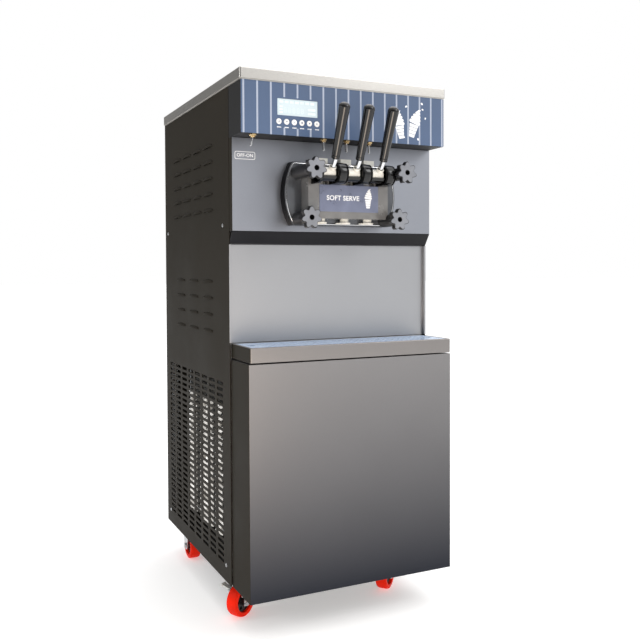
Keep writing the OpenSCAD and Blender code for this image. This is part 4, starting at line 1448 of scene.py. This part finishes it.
class SOFTSERVE_OT_stage(Operator):
    """Sets up the pale floor, the soft studio light and the camera"""

    bl_idname = "softserve.stage"
    bl_label = "Stage"

    def execute(self, context):
        scene = context.scene
        scene.view_settings.view_transform = "Standard"
        floor = bmesh.new()
        bmesh.ops.create_grid(floor, x_segments=1, y_segments=1, size=40)
        mesh = bpy.data.meshes.new("floor")
        floor.to_mesh(mesh)
        floor.free()
        r = Recipe("pale_floor", Roughness=0.6, Specular_IOR_Level=0.0, Emission_Strength=0.38)
        r.set("Base_Color", r.mix(r.range(r.noise(2.0), 0.3, 0.7, 0.0, 1.0), (0.78, 0.78, 0.78),
                                  (0.80, 0.80, 0.80)))
        r.set("Emission_Color", (1.0, 1.0, 1.0))
        mesh.materials.append(r.material)
        ground = bpy.data.objects.new("floor", mesh)
        scene.collection.objects.link(ground)
        self.sky(scene)
        self.light("key", (1.9, -2.4, 2.9), (0, 0, 0.85), 1.4, 26)
        self.light("top", (0.3, 0.3, 3.6), (0, 0, 1.0), 2.0, 14)
        self.light("side", (-2.6, 0.2, 1.5), (-0.2, 0.1, 0.4), 0.8, 12)
        self.light("warm", (-0.46, -1.3, 0.35), (0, -0.36, 1.12), 0.55, 7, (1, 0.82, 0.66))
        self.camera()
        return {"FINISHED"}

    def sky(self, scene):
        """White behind the machine; its light is dim from the left, brighter ahead and above."""
        world = bpy.data.worlds.new("studio")
        world.use_nodes = True
        tree = world.node_tree
        place = tree.nodes.new("ShaderNodeTexCoord")
        split = tree.nodes.new("ShaderNodeSeparateXYZ")
        tree.links.new(place.outputs["Generated"], split.inputs[0])
        right = self.ramp(tree, split.outputs["X"], -0.35, 0.25, 0.14, 0.86)
        above = self.ramp(tree, split.outputs["Z"], 0.35, 0.80, 0.0, 0.9)
        total = tree.nodes.new("ShaderNodeMath")
        tree.links.new(right, total.inputs[0])
        tree.links.new(above, total.inputs[1])
        seen = tree.nodes.new("ShaderNodeMath")
        seen.operation = "MAXIMUM"
        rays = tree.nodes.new("ShaderNodeLightPath")
        tree.links.new(total.outputs[0], seen.inputs[0])
        tree.links.new(rays.outputs["Is Camera Ray"], seen.inputs[1])
        tree.links.new(seen.outputs[0], tree.nodes["Background"].inputs["Color"])
        scene.world = world

    def ramp(self, tree, source, low, high, new_low, new_high):
        node = tree.nodes.new("ShaderNodeMapRange")
        for socket, value in zip(("From Min", "From Max", "To Min", "To Max"),
                                 (low, high, new_low, new_high)):
            node.inputs[socket].default_value = value
        tree.links.new(source, node.inputs["Value"])
        return node.outputs[0]

    def light(self, name, place, target, size, power, tint=(1, 1, 1)):
        data = bpy.data.lights.new(name, "AREA")
        data.energy = power
        data.color = tint
        data.size = size
        made = bpy.data.objects.new(name, data)
        made.location = place
        made.rotation_euler = (Vector(target) - Vector(place)).to_track_quat("-Z", "Y").to_euler()
        bpy.context.scene.collection.objects.link(made)

    def camera(self):
        data = bpy.data.cameras.new("camera")
        data.lens = 45.08
        data.sensor_width = 36
        data.shift_y = -0.049
        made = bpy.data.objects.new("camera", data)
        aim = turn(-25.4, "Z") @ turn(90 - 1.5, "X") @ turn(-0.23, "Z")
        made.matrix_world = shift(-0.8723, -1.9441, 0.8357) @ aim
        bpy.context.scene.collection.objects.link(made)
        bpy.context.scene.camera = made


# ----------------------------------------------------------- interface


OPERATORS = (
    SOFTSERVE_OT_stage,
    SOFTSERVE_OT_covers,
    SOFTSERVE_OT_head,
    SOFTSERVE_OT_controls,
    SOFTSERVE_OT_door,
    SOFTSERVE_OT_levers,
    SOFTSERVE_OT_knobs,
    SOFTSERVE_OT_tray,
    SOFTSERVE_OT_casters,
    SOFTSERVE_OT_fasteners,
    SOFTSERVE_OT_works,
)


class SOFTSERVE_PT_panel(Panel):
    """Lists the machine's pieces, sizes and colours"""

    bl_idname = "SOFTSERVE_PT_panel"
    bl_label = "Soft Serve Machine"
    bl_space_type = "VIEW_3D"
    bl_region_type = "UI"
    bl_category = "Soft Serve"

    def draw(self, context):
        for operator in OPERATORS:
            self.layout.operator(operator.bl_idname)
        for settings in (sizes(), colours()):
            column = self.layout.column(align=True)
            for name in settings.__annotations__:
                column.prop(settings, name)


def register():
    for cls in (MachineSizes, MachineColours, *OPERATORS, SOFTSERVE_PT_panel):
        bpy.utils.register_class(cls)
    bpy.types.Scene.machine_sizes = PointerProperty(type=MachineSizes)
    bpy.types.Scene.machine_colours = PointerProperty(type=MachineColours)


def unregister():
    del bpy.types.Scene.machine_colours
    del bpy.types.Scene.machine_sizes
    for cls in (SOFTSERVE_PT_panel, *reversed(OPERATORS), MachineColours, MachineSizes):
        bpy.utils.unregister_class(cls)


def main():
    register()
    for operator in OPERATORS:
        area, name = operator.bl_idname.split(".")
        getattr(getattr(bpy.ops, area), name)()
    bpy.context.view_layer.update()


if __name__ == "__main__":
    main()
